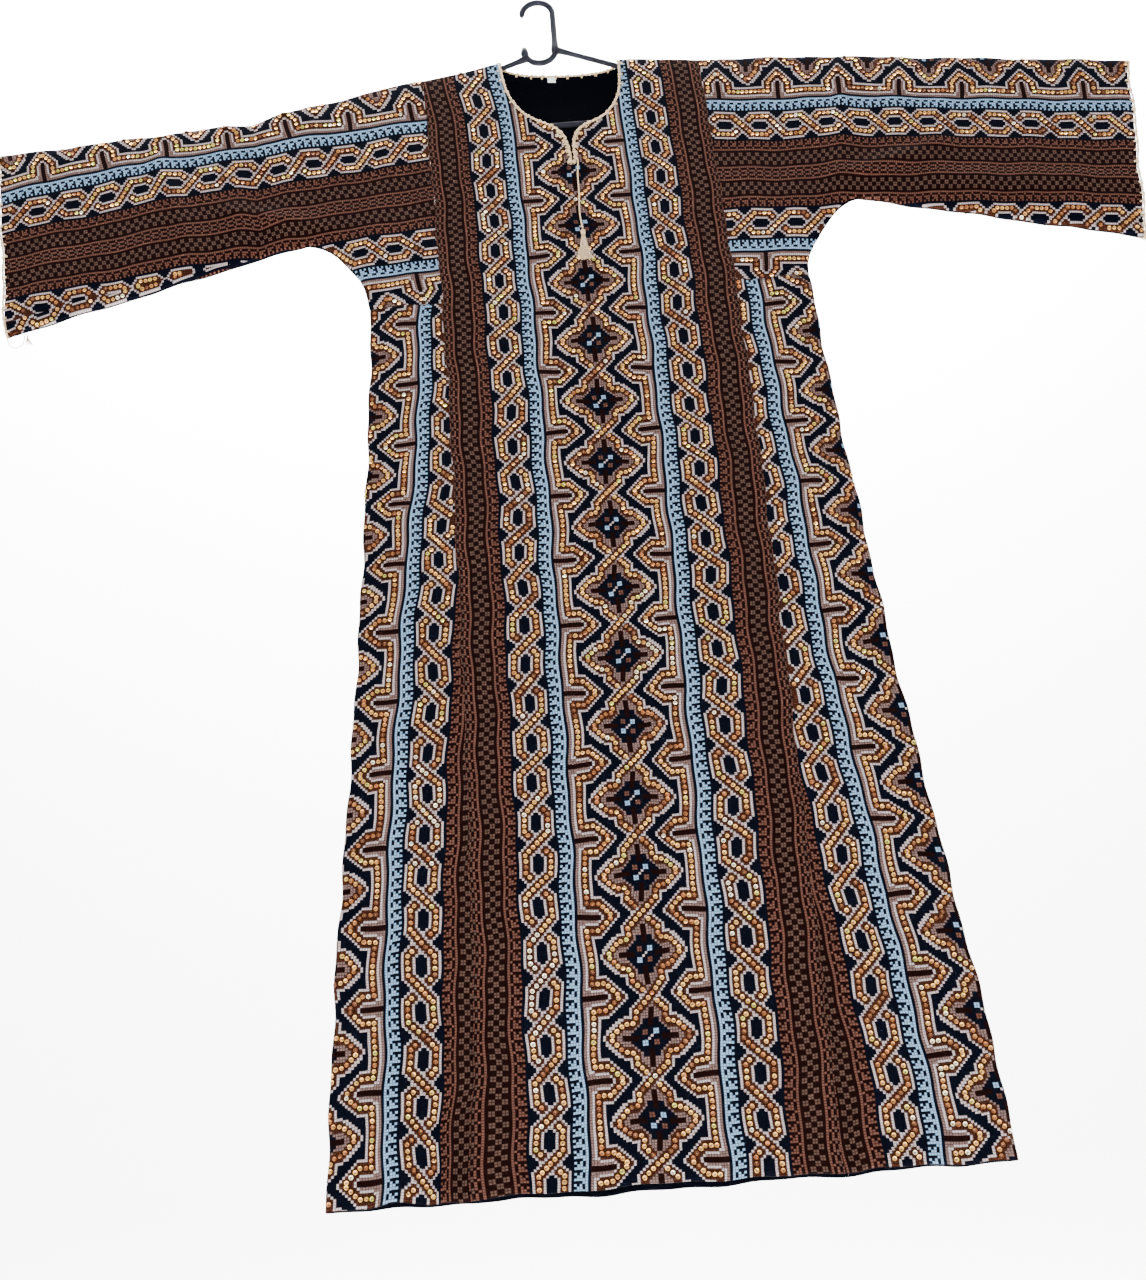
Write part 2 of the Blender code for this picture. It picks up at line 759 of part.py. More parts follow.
def tassel_strands(top):
    """All strands of the tassel in one helper mesh, each with its root inside the head."""
    helper = bmesh.new()
    sides = 3
    corners = [math.radians(360 * k / sides) for k in range(sides)]
    for count, ring in ((6, 0.36), (11, 0.72)):
        for n in range(count):
            angle = math.radians(360 * (n + 0.5) / count)
            across = TASSEL_HEAD_RADIUS * ring * math.cos(angle)
            outward = TASSEL_HEAD_RADIUS * ring * math.sin(angle)
            length = TASSEL_LENGTH * (0.95 + 0.05 * math.sin(5.0 * n))
            loops = []
            for part in (0.0, 0.3, 0.65, 1.0):
                drop = 0.8 * TASSEL_HEAD_LENGTH * (1 - part) + part * length
                fan = 1 + TASSEL_FAN * part
                thicken = 1 + TASSEL_THICKEN * part
                middle = top + Vector((across * fan, outward * thicken, -drop))
                loop = []
                for corner in corners:
                    edge = Vector((math.cos(corner), math.sin(corner), 0)) * STRAND_RADIUS
                    loop.append(helper.verts.new(middle + edge))
                loops.append(loop)
            skin(helper, loops)
    return add_helper("tassel strands", helper)


def arc(centre, radius, start, end, steps):
    """Points of an arc in the hanger's plane, angles in degrees from +X towards +Z."""
    points = []
    for i in range(steps + 1):
        angle = math.radians(start + (end - start) * i / steps)
        points.append(
            Vector((centre[0] + radius * math.cos(angle), 0, centre[1] + radius * math.sin(angle)))
        )
    return points


def arm_slope(name):
    """Fall of one arm for each metre, so that it carries the neck edging at the shoulder."""
    corner = SIDES[name]["sign"] * (NECK_HALF - EDGING_SEAT)
    seat_z = shoulder_line(corner) - EDGING_RADIUS - SEAM_GAP
    seat_x = abs(middle_line(seat_z) + corner)
    start_x, start_z = ARM_STARTS[name]
    slope = 0.4
    for _ in range(8):
        bar_z = seat_z - TUBE_RADIUS * math.hypot(1, slope)
        slope = (start_z - bar_z) / (seat_x - start_x)
    return slope


def hanger_half(name):
    """Middle line of one arm, its rounded end and its half of the lower bar."""
    sign = SIDES[name]["sign"]
    start_x, start_z = ARM_STARTS[name]
    slope = arm_slope(name)
    lean = math.atan(slope)
    root_x = start_x - ARM_ROOT
    root = Vector((root_x, 0, start_z + ARM_ROOT * slope))
    straight = Vector((ARM_STRAIGHT, 0, start_z - (ARM_STRAIGHT - start_x) * slope))
    turn_x = straight.x - END_RADIUS * math.sin(lean)
    turn_z = straight.z - END_RADIUS * math.cos(lean)
    turn = arc((turn_x, turn_z), END_RADIUS, 90 - math.degrees(lean), -60, 6)
    half = [root, straight.lerp(root, 0.5), *turn]
    for x in (turn_x - BAR_INSET, turn_x * 0.5):
        half.append(Vector((x, 0, BAR_HEIGHT)))
    return [Vector((sign * point.x, 0, point.z)) for point in half]


def hanger(black):
    """The hanger: hook, stem, loop and finger in one bar, both arms and the lower bar in another."""
    hook = arc((0.0, TUBE_RADIUS - HOOK_RADIUS), HOOK_RADIUS, 187, 0, 12)
    loop = arc((0.0, STEM_END), HOOK_RADIUS, 0, -180, 12)
    nub = Vector((-HOOK_RADIUS, 0, NUB_TOP))
    upper = sweep("hanger", hook + loop + [nub], TUBE_RADIUS, TUBE_SIDES, black)
    path = hanger_half("right") + [Vector((0, 0, BAR_HEIGHT))] + list(reversed(hanger_half("left")))
    lower = sweep("hanger frame", path, TUBE_RADIUS, TUBE_SIDES, black)
    lower.hide_render = True
    lower.display_type = "WIRE"
    join(upper, lower)
    return upper


def main():
    clear_scene()
    cloth = material("embroidered cloth", (0.075, 0.045, 0.038), 0.85)
    cream = material("cream thread", (0.78, 0.66, 0.46), 0.8)
    white = material("white tape", (0.85, 0.86, 0.88), 0.6)
    black = material("black plastic", (0.012, 0.012, 0.014), 0.35)
    centre_panel(cloth)
    for name, side in SIDES.items():
        sleeve("sleeve_" + name, side, cloth)
        gore("side_gore_" + name, side, cloth)
        cuff_edging("cuff_edging_" + name, side, cream)
    neck_edging(cream)
    neck_label(white)
    tie_cord(cream)
    tassel(cream)
    hanger(black)


main()
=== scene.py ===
"""Looks of an embroidered dress on its hanger: cloth with stitches and sequins, edging, tie and stage.

Flat places of the cloth are given as in the solids: x is the distance from the dress's own middle
line, z the height below the hook. Stitches are counted from the middle of a medallion: p across the
bands, q along them.
"""

import math

import bpy
import numpy as np
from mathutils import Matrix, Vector


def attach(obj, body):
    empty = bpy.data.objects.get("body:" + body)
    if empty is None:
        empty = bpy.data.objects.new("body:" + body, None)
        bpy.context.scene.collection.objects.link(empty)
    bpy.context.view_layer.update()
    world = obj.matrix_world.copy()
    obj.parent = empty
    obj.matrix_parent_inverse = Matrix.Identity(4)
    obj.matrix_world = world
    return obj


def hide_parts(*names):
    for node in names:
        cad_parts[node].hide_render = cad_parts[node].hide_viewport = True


bl_info = {
    "name": "Embroidered dress on a hanger",
    "version": (1, 0, 0),
    "blender": (4, 2, 0),
    "location": "View3D > Sidebar > Dress",
    "description": "Builds the embroidered cloth, sequins, edging, tie and stage round the packed frame",
    "category": "Object",
}

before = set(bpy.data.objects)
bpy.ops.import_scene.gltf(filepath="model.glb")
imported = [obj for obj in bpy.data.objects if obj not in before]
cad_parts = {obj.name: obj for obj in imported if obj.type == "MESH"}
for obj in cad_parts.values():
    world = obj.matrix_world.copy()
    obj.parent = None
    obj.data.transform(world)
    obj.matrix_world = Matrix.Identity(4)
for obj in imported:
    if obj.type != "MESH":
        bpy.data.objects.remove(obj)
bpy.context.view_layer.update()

# Cloth, in the sizes of the solids
WALL = 0.0015
SEAM_GAP = 0.0004
CLOSED_GAP = 0.00003
SHOULDER_BEND = 0.00425
SIDE_BEND = 0.003
SLACK = 0.005
SLACK_REACH = 0.035
HEM_HEIGHT = -1.5245
PANEL_HALF = 0.178
NECK_HALF = 0.078
NECK_DEPTH = 0.107
NECK_ROUNDNESS = 2.5
SLIT_END = 0.167
SLIT_HALF = 0.0043
SLIT_FLARE = 0.0045
SLIT_FLARE_DEPTH = 0.1245
SLIT_FLARE_REACH = 0.012
BACK_NECK_STEP = 0.0048
BACK_NECK_CORNER = 0.035
BACK_NECK_CORNER_DROP = 0.005
BACK_NECK_SAG = 0.0072
MIDDLE_X = 0.040
MIDDLE_HEIGHT = -0.7815
LEAN_TOP = 0.017
LEAN_TOP_REACH = 0.68
LEAN_HEM = 0.007
GORE_TOP = -0.4665
ARMPIT_ROUNDNESS = 1.6
MOUTH = 0.012
MOUTH_SPREAD = 0.12
MOUTH_REACH = 0.25

# Each side: neck corner and fold to the cuff, lower end of the cuff, armpit; then how the pattern
# lies on sleeve and gore. Sleeve rows: distance from the middle, then the count p at the fold and 34
# and 88 stitches below it. Along the cloth: place of one medallion and length of one repeat. Chain
# phases above and below the mirror line, and how far the medallions below it are shifted. Gore slip:
# height, then how far the counts p and q are shifted
SIDES = {
    "left": {
        "sign": -1,
        "top": (
            (NECK_HALF, -0.0983),
            (0.1360, -0.1113),
            (0.3635, -0.1503),
            (0.3980, -0.1643),
            (0.4250, -0.1633),
            (0.7260, -0.1833),
        ),
        "cuff_bottom": (0.7090, -0.4605),
        "armpit": (0.3380, -0.3590),
        "sleeve_slope": 7.5,
        "sleeve_rows": (
            (0.178, 4.0, 34.0, 84.2),
            (0.235, 6.1, 36.1, 86.0),
            (0.280, 8.3, 36.0, 87.5),
            (0.325, 10.3, 37.8, 89.0),
            (0.368, 11.1, 39.8, 90.4),
            (0.392, 12.6, 41.2, 91.2),
            (0.416, 12.1, 42.8, 91.0),
            (0.457, 8.9, 42.2, 91.1),
            (0.504, 10.8, 42.1, 90.4),
            (0.520, 12.5, 42.0, 90.1),
            (0.542, 9.8, 41.0, 89.5),
            (0.587, 10.2, 39.2, 88.6),
            (0.634, 9.9, 37.7, 88.1),
            (0.680, 7.6, 36.5, 88.1),
            (0.726, 5.8, 34.6, 85.8),
        ),
        "sleeve_repeat": (199.9, 28.2),
        "sleeve_phases": (0.2, 4.5, -13.7),
        "gore_pattern": (6.0, 357.3, 30.9),
        "gore_phase": 0.8,
        "gore_slip": (
            (GORE_TOP, -2.4, -11.8),
            (-0.575, -2.3, -11.1),
            (-0.659, -1.9, -9.7),
            (-0.738, -0.7, -7.4),
            (-0.816, 0.6, -4.6),
            (-0.888, 1.5, -3.3),
            (-1.080, 1.8, -2.1),
            (-1.236, 0.7, -1.0),
            (-1.403, -1.2, -0.9),
            (HEM_HEIGHT, -1.6, -0.9),
        ),
    },
    "right": {
        "sign": 1,
        "top": (
            (NECK_HALF, -0.1093),
            (0.1815, -0.1173),
            (0.3270, -0.1273),
            (0.5405, -0.1523),
            (0.7175, -0.1743),
        ),
        "cuff_bottom": (0.6780, -0.4460),
        "armpit": (0.3460, -0.3550),
        "sleeve_slope": 5.8,
        "sleeve_rows": (
            (0.178, 2.6, 32.5, 81.1),
            (0.250, 1.9, 32.1, 81.0),
            (0.290, 1.5, 31.8, 82.0),
            (0.325, 1.3, 33.2, 83.0),
            (0.350, 3.6, 33.4, 83.3),
            (0.373, 3.6, 33.1, 83.5),
            (0.410, 1.8, 33.3, 84.0),
            (0.470, 0.3, 33.5, 84.6),
            (0.545, 1.0, 32.7, 85.0),
            (0.600, 1.8, 32.6, 84.8),
            (0.720, 2.5, 32.5, 84.1),
        ),
        "sleeve_repeat": (113.3, 27.32),
        "sleeve_phases": (7.6, 6.5, -10.6),
        "gore_pattern": (0.0, 329.8, 29.92),
        "gore_phase": 14.8,
        "gore_slip": (
            (GORE_TOP, 2.4, -4.3),
            (-0.616, 2.3, -4.2),
            (-0.752, 1.8, -3.4),
            (-0.856, 0.8, -2.3),
            (-0.907, 0.0, -2.2),
            (-1.005, -0.5, -2.1),
            (-1.190, -0.2, -1.0),
            (-1.402, -0.7, -1.3),
            (HEM_HEIGHT, -0.1, -0.3),
        ),
    },
}

# Stitches below the fold for the last two counts of the sleeve rows, and where the slope is counted from
MIDDLE_FALL, LOW_FALL = 34, 88
SLEEVE_HEIGHT = -0.1

# Distance of each side fold from the middle line: height, left, right
SIDE_ROWS = (
    (GORE_TOP, 0.2650, 0.2675),
    (-0.6500, 0.2755, 0.2735),
    (-0.9800, 0.2970, 0.2960),
    (-1.2600, 0.3190, 0.3240),
    (-1.4100, 0.3255, 0.3410),
    (HEM_HEIGHT, 0.3300, 0.3475),
)

# Shift of the count q on the front of the centre panel: height, near its left and its right edge
PANEL_SLIP = (
    (-0.09, 3.6, 0.0),
    (-0.14, 1.3, 0.0),
    (-0.18, 0.0, -0.4),
    (-0.25, -0.5, -1.1),
    (-0.38, -0.4, -1.6),
    (-0.50, 0.0, -2.4),
    (-0.62, 0.0, -4.2),
    (-0.735, -0.9, -2.8),
    (-0.83, -0.5, -1.8),
    (-0.93, -0.4, -0.9),
    (-1.03, -0.4, -0.4),
    (-1.22, -0.5, -0.4),
    (-1.29, -1.1, -1.1),
    (-1.38, -2.2, -1.8),
    (-1.46, -2.4, -2.1),
    (HEM_HEIGHT, -1.4, -1.4),
)

# Folds: face, x and z at the start, x and z at the end, rise, spread
FOLDS = (
    ("front", -0.232, -1.120, -0.262, HEM_HEIGHT, 0.0130, 0.0150),
    ("front", -0.200, -1.060, -0.222, HEM_HEIGHT, -0.0060, 0.0160),
    ("front", -0.120, -0.950, -0.150, HEM_HEIGHT, 0.0050, 0.0300),
    ("front", 0.190, -0.820, 0.215, HEM_HEIGHT, 0.0070, 0.0220),
    ("front", 0.120, -1.050, 0.130, HEM_HEIGHT, -0.0040, 0.0260),
    ("front", 0.300, -0.330, 0.460, -0.285, 0.0040, 0.0120),
    ("front", -0.300, -0.340, -0.440, -0.300, 0.0040, 0.0120),
    ("front", -0.163, -1.200, -0.187, HEM_HEIGHT, -0.0080, 0.0085),
    ("front", 0.169, -1.180, 0.192, HEM_HEIGHT, -0.0070, 0.0090),
    ("front", 0.323, -0.351, 0.358, -0.138, 0.0035, 0.0090),
    ("front", 0.352, -0.325, 0.678, -0.365, 0.0028, 0.0100),
    ("front", -0.519, -0.196, -0.484, -0.371, 0.0032, 0.0130),
    ("front", -0.424, -0.162, -0.397, -0.349, -0.0030, 0.0110),
    ("front", -0.060, -0.420, 0.080, -0.700, 0.0022, 0.0260),
    ("front", 0.130, -0.380, 0.060, -0.760, -0.0020, 0.0220),
    ("back", -0.210, -0.900, -0.240, HEM_HEIGHT, 0.0080, 0.0240),
    ("back", -0.080, -1.000, -0.060, HEM_HEIGHT, 0.0060, 0.0300),
    ("back", 0.150, -0.850, 0.170, HEM_HEIGHT, 0.0070, 0.0260),
    ("back", 0.250, -1.150, 0.275, HEM_HEIGHT, -0.0050, 0.0160),
    ("back", 0.300, -0.340, 0.470, -0.290, 0.0040, 0.0120),
    ("back", -0.300, -0.335, -0.450, -0.295, 0.0040, 0.0120),
    ("back", -0.180, -1.250, -0.172, HEM_HEIGHT, -0.0045, 0.0090),
    ("back", 0.350, -0.340, 0.330, -0.150, 0.0032, 0.0100),
    ("back", -0.360, -0.330, -0.660, -0.360, 0.0028, 0.0110),
    ("back", 0.500, -0.180, 0.480, -0.360, -0.0028, 0.0120),
    ("back", 0.040, -0.300, -0.080, -0.660, 0.0024, 0.0260),
)

# Lines along which the cloth is drawn sideways, with the shift in place of the rise
PULLS = (
    ("front", -0.178, -1.300, -0.184, HEM_HEIGHT, -0.0100, 0.0280),
    ("front", 0.055, -0.400, 0.075, -1.550, -0.0042, 0.0500),
    ("back", 0.178, -1.280, 0.186, HEM_HEIGHT, 0.0060, 0.0300),
)

# Mesh of the cloth
GRID = 0.0056

# The seam below the left arm has turned to the front: distances, and its height over the lower edge
SEAM_ROWS = (
    (0.400, 0.0),
    (0.453, 0.0085),
    (0.500, 0.0104),
    (0.545, 0.0130),
    (0.587, 0.0150),
    (0.638, 0.0200),
    (0.682, 0.0222),
    (0.730, 0.0200),
)

# The pattern, counted in stitches. A chain's phase is the count q at which its repeat starts
STITCH = 0.0028
PANEL_PHASES = (7.3, 6.5)
GORE_FAR_PHASE = 7.3
FIRST_MEDALLION = -0.2815
REPEAT = 30
CHAIN_REPEAT = 16.65
CHAIN_ROWS = 16
CHAIN_MIDDLE = 38
BAND_REPEAT = 4
MIRROR_LINE = 62.5
THREADS = ("navy", "maroon", "brown", "pale", "pinkish", "light_blue", "rust_and_sequin_shadow", "checker")
NAVY, MAROON, BROWN, PALE, PINKISH, LIGHT_BLUE, RUST_AND_SEQUIN_SHADOW, CHECKER = range(len(THREADS))
MEDALLION_UPPER = ((14.4, 0.0), (9.6, 5.0), (7.0, 5.0), (5.5, 6.5), (5.5, 9.5), (-6.0, 21.0))
MEDALLION_LOWER = ((-6.0, 9.0), (5.5, 20.5), (5.5, 23.5), (7.0, 25.0), (9.6, 25.0), (14.4, 30.0))
MEANDER = (
    (20.5, -20.0), (20.5, 10.0), (15.7, 10.0), (10.7, 15.0), (15.7, 20.0), (20.5, 20.0), (20.5, 50.0)
)
CHAIN_OVER = ((-4.6, 0.0), (-4.6, 3.5), (4.6, 12.5), (4.6, 16.0))
CHAIN_UNDER = ((4.6, 0.0), (4.6, 3.5), (-4.6, 12.5), (-4.6, 16.0))
ARROW = ("X.X", "XX.", "XXX", "...")
# The dark rust band of a strand reaches past the sequins' edges, where it partly stands for their painted
# shadow
STRAND_HALF = 1.7
OUTLINE_HALF = 2.55
SEQUIN_SPACING = 2.15

# Counts that are sure to reach past the cloth: q along each piece, p across it
PANEL_REACH = (-580, 450)
SLEEVE_REACH = (-240, 240)
GORE_REACH = (-330, 140)
HALF_WIDTH = 64
SLEEVE_WIDTH = 124

# Distance of the sequins from a cut neck, and from seams, hems and cuffs
NECK_MARGIN = 0.0035
SEQUIN_EDGE = 0.0026

# Seeds of chance
PANEL_SEED, SLEEVE_SEED, GORE_SEED, NECK_SEED, CUFF_SEED, TASSEL_SEED = 11, 23, 37, 3, 7, 19

# Patches of painted highlight on the front, where sequins take a bright tint in place of their own, the
# pale glint tint or lime: x, z, spreads in x and z, share of them, tint
PAINTED_GLINTS = (
    (-0.122, -1.330, 0.016, 0.120, 0.70, 1.00),
    (0.081, -1.220, 0.014, 0.075, 0.65, 1.00),
    (0.020, -0.940, 0.045, 0.060, 0.30, 0.97),
    (-0.224, -1.130, 0.016, 0.085, 0.60, 1.00),
    (0.281, -1.455, 0.020, 0.070, 0.55, 0.98),
    (-0.560, -0.215, 0.200, 0.025, 0.50, 0.86),
    (-0.140, -0.330, 0.030, 0.090, 0.30, 0.97),
)

# Where stiff cloth arches up over the hanger or the sleeve: x, z, spreads in x and z, lift
LIFTS = (
    (0.095, -0.080, 0.045, 0.050, 0.0055),
    (-0.085, -0.085, 0.030, 0.045, 0.0020),
    (-0.210, -0.100, 0.080, 0.050, 0.0055),
    (0.480, -0.090, 0.300, 0.045, 0.0022),
)

# Trim and hanger, in the sizes of the solids
EDGING_RADIUS = 0.0015
EDGING_SEAT = EDGING_RADIUS + SEAM_GAP
CORD_RADIUS = 0.0009
SLIT_TOP = -0.2080
TASSEL_HEAD_RADIUS = 0.0028
TASSEL_HEAD_LENGTH = 0.007
LABEL_MIDDLE = -0.0120
LABEL_WIDTH = 0.0100
LABEL_DROP = 0.0082
TUBE_RADIUS = 0.0032
HOOK_RADIUS = 0.020
STEM_END = -0.0785
NUB_TOP = -0.0715
ARM_STARTS = {"left": (0.022, -0.0910), "right": (0.024, -0.0800)}
ARM_ROOT = 0.004
ARM_STRAIGHT = 0.168
END_RADIUS = 0.020
BAR_INSET = 0.018
BAR_HEIGHT = -0.2035


# Cloth shape


def middle_line(z):
    """World x of the dress's middle line at heights."""
    upper = MIDDLE_X - LEAN_TOP * ((z - MIDDLE_HEIGHT) / LEAN_TOP_REACH) ** 2
    lower = MIDDLE_X - LEAN_HEM * ((z - MIDDLE_HEIGHT) / (HEM_HEIGHT - MIDDLE_HEIGHT)) ** 2
    return np.where(z > MIDDLE_HEIGHT, upper, lower)


def shoulder_line(x):
    """Height of the fold along shoulders and sleeves, at mid cloth."""
    left = [(-far, z) for far, z in reversed(SIDES["left"]["top"])]
    xs, zs = zip(*left, *SIDES["right"]["top"])
    ends = (
        zs[0] + (zs[1] - zs[0]) / (xs[1] - xs[0]) * (x - xs[0]),
        zs[-1] + (zs[-1] - zs[-2]) / (xs[-1] - xs[-2]) * (x - xs[-1]),
    )
    inside = np.interp(x, xs, zs)
    return np.where(x < xs[0], ends[0], np.where(x > xs[-1], ends[1], inside))


def shoulder_at(x):
    """Height of that fold at one place."""
    return float(shoulder_line(np.array(x)))


def from_rows(rows, at, *columns):
    """Values of a table's columns at places along its first column, which rises or falls."""
    rows = np.array(rows)
    way = 1 if rows[-1, 0] > rows[0, 0] else -1
    return [np.interp(way * at, way * rows[:, 0], rows[:, k]) for k in columns]


def bell(x, z, middle_x, middle_z, spread_x, spread_z):
    """A soft patch: 1 in its middle and 0 far from it."""
    return np.exp(-(((x - middle_x) / spread_x) ** 2) - ((z - middle_z) / spread_z) ** 2)


def side_half(z, sign):
    """Distance of a side fold from the middle line at heights."""
    return from_rows(SIDE_ROWS, z, 1 if sign < 0 else 2)[0]


def sleeve_bottom(x):
    """Height of a sleeve's lower edge, with the armpit's curve."""
    result = np.full(np.shape(x), GORE_TOP)
    for side in SIDES.values():
        own = np.sign(x) == side["sign"]
        corner = side_half(GORE_TOP, side["sign"])
        armpit_x, armpit_z = side["armpit"]
        part = np.clip((armpit_x - np.abs(x)) / (armpit_x - corner), 0, 1)
        curve = GORE_TOP + (armpit_z - GORE_TOP) * (1 - part**ARMPIT_ROUNDNESS) ** (1 / ARMPIT_ROUNDNESS)
        cuff_x, cuff_z = side["cuff_bottom"]
        slant = armpit_z + (cuff_z - armpit_z) * (np.abs(x) - armpit_x) / (cuff_x - armpit_x)
        edge = np.where(np.abs(x) < armpit_x, curve, slant)
        result = np.where(own & (np.abs(x) > corner), edge, result)
    return result


def side_outline(side):
    """Points from the hem up the side fold, round the armpit and past the cuff's lower end."""
    points = []
    for row in reversed(SIDE_ROWS):
        points.append((row[1 if side["sign"] < 0 else 2], row[0]))
    corner = float(side_half(GORE_TOP, side["sign"]))
    armpit_x, armpit_z = side["armpit"]
    for turn in (3, 10, 20, 35, 50, 65, 80):
        x = armpit_x - (armpit_x - corner) * math.cos(math.radians(turn))
        points.append((x, float(sleeve_bottom(np.array(side["sign"] * x)))))
    points.append(side["armpit"])
    cuff_x, cuff_z = side["cuff_bottom"]
    reach = 1.05
    points.append((armpit_x + (cuff_x - armpit_x) * reach, armpit_z + (cuff_z - armpit_z) * reach))
    return np.array(points)


OUTLINES = {name: side_outline(side) for name, side in SIDES.items()}


def distance_to_path(x, z, path):
    """Shortest distance from places to a line of straight steps."""
    path = np.asarray(path, dtype=float)
    nearest = np.full(np.shape(x), np.inf)
    for start, end in zip(path, path[1:]):
        along = end - start
        across_x = x - start[0]
        across_z = z - start[1]
        part = np.clip((across_x * along[0] + across_z * along[1]) / (along @ along), 0, 1)
        away = np.hypot(across_x - part * along[0], across_z - part * along[1])
        nearest = np.minimum(nearest, away)
    return nearest


def room(distance, bend):
    """Half the depth between front and back at a distance from a fold of the given bend radius."""
    distance = np.maximum(distance, 0.0)
    near = np.sqrt(np.maximum(distance * (2 * bend - distance), 0.0))
    near = np.where(distance < bend, near, bend)
    return near + SLACK * (1 - np.exp(-distance / SLACK_REACH))


def half_depth(x, z):
    """Half the depth between the front's and the back's mid cloth."""
    from_shoulder = room(shoulder_line(x) - z, SHOULDER_BEND)
    left = distance_to_path(np.abs(x), z, OUTLINES["left"])
    right = distance_to_path(np.abs(x), z, OUTLINES["right"])
    from_edge = room(np.where(x < 0, left, right), SIDE_BEND)
    tiny = 1e-6
    flat = np.minimum(from_shoulder, from_edge) <= tiny
    body = (np.maximum(from_shoulder, tiny) ** -4 + np.maximum(from_edge, tiny) ** -4) ** -0.25
    mouth = MOUTH * np.exp(-((x / MOUTH_SPREAD) ** 2)) * np.exp((HEM_HEIGHT - z) / MOUTH_REACH)
    return np.where(flat, 0.0, body + mouth)


def fold_rise(x, z, front, folds):
    """Sum of the folds at flat places: how far they lift the cloth, or draw it sideways."""
    total = np.zeros(np.shape(x))
    for face, x0, z0, x1, z1, rise, spread in folds:
        along_x, along_z = x1 - x0, z1 - z0
        length = math.hypot(along_x, along_z)
        part = ((x - x0) * along_x + (z - z0) * along_z) / length**2
        part = np.clip(part, 0.0, 1.15)
        if z1 == HEM_HEIGHT:
            growth = part * part * (3 - 2 * np.minimum(part, 1.0))
        else:
            growth = np.sin(part * math.pi / 1.15)
        away = ((x - x0) * along_z - (z - z0) * along_x) / length
        own = front if face == "front" else ~front
        total += own * rise * growth * np.exp(-((away / spread) ** 2))
    return total


def drift(x, z):
    """Small uneven shifts of the cloth along itself, calm near the neck."""
    calm = 1 - bell(x, z, 0.0, -0.15, 0.2, 0.15)
    turn = 2 * math.pi
    sideways = 0.0011 * np.sin(turn * (7.3 * z + 3.1 * x) + 0.4)
    sideways += 0.0008 * np.sin(turn * (15.7 * z - 5.9 * x) + 1.9)
    upward = 0.0010 * np.sin(turn * (8.1 * x + 2.7 * z) + 2.6)
    upward += 0.0007 * np.sin(turn * (17.3 * x - 4.3 * z) + 0.9)
    lifted = calm * upward
    for *patch, lift in LIFTS:
        lifted = lifted + lift * bell(x, z, *patch)
    return calm * sideways, lifted


def cloth_places(x, z, front):
    """World places of mid cloth at flat places. The front is where front is true."""
    depth = half_depth(x, z)
    calm = np.minimum(depth / SHOULDER_BEND, 1.0)
    out = depth + calm * fold_rise(x, z, front, FOLDS)
    sideways, upward = drift(x, z)
    sideways = sideways + calm * fold_rise(x, z, front, PULLS)
    return np.stack([middle_line(z) + x + sideways, np.where(front, -out, out), z + upward], axis=-1)


def cloth_point(x, z, face):
    place = cloth_places(np.array([x]), np.array([z]), np.array([face == "front"]))[0]
    return Vector(place)


def cloth_normals(x, z, front):
    """Outward directions of the cloth at flat places."""
    step = 0.0008
    across = cloth_places(x + step, z, front) - cloth_places(x - step, z, front)
    upward = cloth_places(x, z + step, front) - cloth_places(x, z - step, front)
    normal = np.cross(across, upward)
    normal /= np.maximum(np.linalg.norm(normal, axis=-1, keepdims=True), 1e-12)
    return np.where(front[..., None], normal, -normal)


def neck_half(depth):
    """Half the width of the front neck and its slit at depths below the shoulder line."""
    slit = SLIT_HALF + np.minimum(SLIT_FLARE * np.exp((SLIT_FLARE_DEPTH - depth) / SLIT_FLARE_REACH), 0.030)
    part = np.clip(depth / NECK_DEPTH, 0, 1)
    bowl = NECK_HALF * (1 - part**NECK_ROUNDNESS) ** (1 / NECK_ROUNDNESS)
    return np.where(depth >= NECK_DEPTH, slit, np.maximum(bowl, slit))


def back_neck_drop(x):
    """Depth of the back neck below the shoulder line."""
    from_corner = np.clip((NECK_HALF - np.abs(x)) / BACK_NECK_CORNER, 0.0, 1.0)
    corner = BACK_NECK_CORNER_DROP * (1 - (1 - from_corner) ** 2)
    sag = BACK_NECK_SAG * (1 - (x / NECK_HALF) ** 2)
    return BACK_NECK_STEP + corner + sag


def front_neck_outline():
    """Flat points of the front neck from the left corner down to the slit's end and up again."""
    turns = np.radians(np.linspace(0, 78, 16))
    below_bowl = NECK_DEPTH + np.array([0.001, 0.006, 0.012, 0.020, 0.032, 0.046])
    depths = np.concatenate([NECK_DEPTH * np.sin(turns), below_bowl, [SLIT_END]])
    halves = neck_half(depths)
    xs = np.concatenate([-halves, halves[::-1]])
    depths = np.concatenate([depths, depths[::-1]])
    return np.stack([xs, shoulder_line(xs) - depths], axis=-1)


def back_neck_outline():
    """Flat points of the back neck from the right corner to the left one."""
    half = NECK_HALF - np.array([0.0, 0.0008, 0.003, 0.007, 0.012, 0.020, 0.030, 0.042, 0.056])
    xs = np.concatenate([half, [0.0], -half[::-1]])
    curve = np.stack([xs, shoulder_line(xs) - back_neck_drop(xs)], axis=-1)
    ends = [[x, shoulder_at(x)] for x in (NECK_HALF, -NECK_HALF)]
    return np.concatenate([[ends[0]], curve, [ends[1]]])


# Where the pattern lies on the cloth


def shoulder_share(x, z):
    """Shoulder height that the back's pattern counts from, evened out away from the shoulder."""
    line = shoulder_line(x)
    middle = shoulder_at(0.0)
    return middle + (line - middle) * np.exp(-(line - z) / 0.25)


def shoulder_slip(x, z):
    """How far the count p is shifted at the left shoulder, on the front of the centre panel."""
    return 3.2 * np.exp(-(((z + 0.11) / 0.055) ** 2)) * np.clip((-x - 0.045) / 0.040, 0.0, 1.0)


def panel_slip(x, z):
    """How far the count q is shifted on the front of the centre panel."""
    left, right = from_rows(PANEL_SLIP, z, 1, 2)
    return left + (right - left) * np.clip((x + 0.12) / 0.24, -0.2, 1.2)


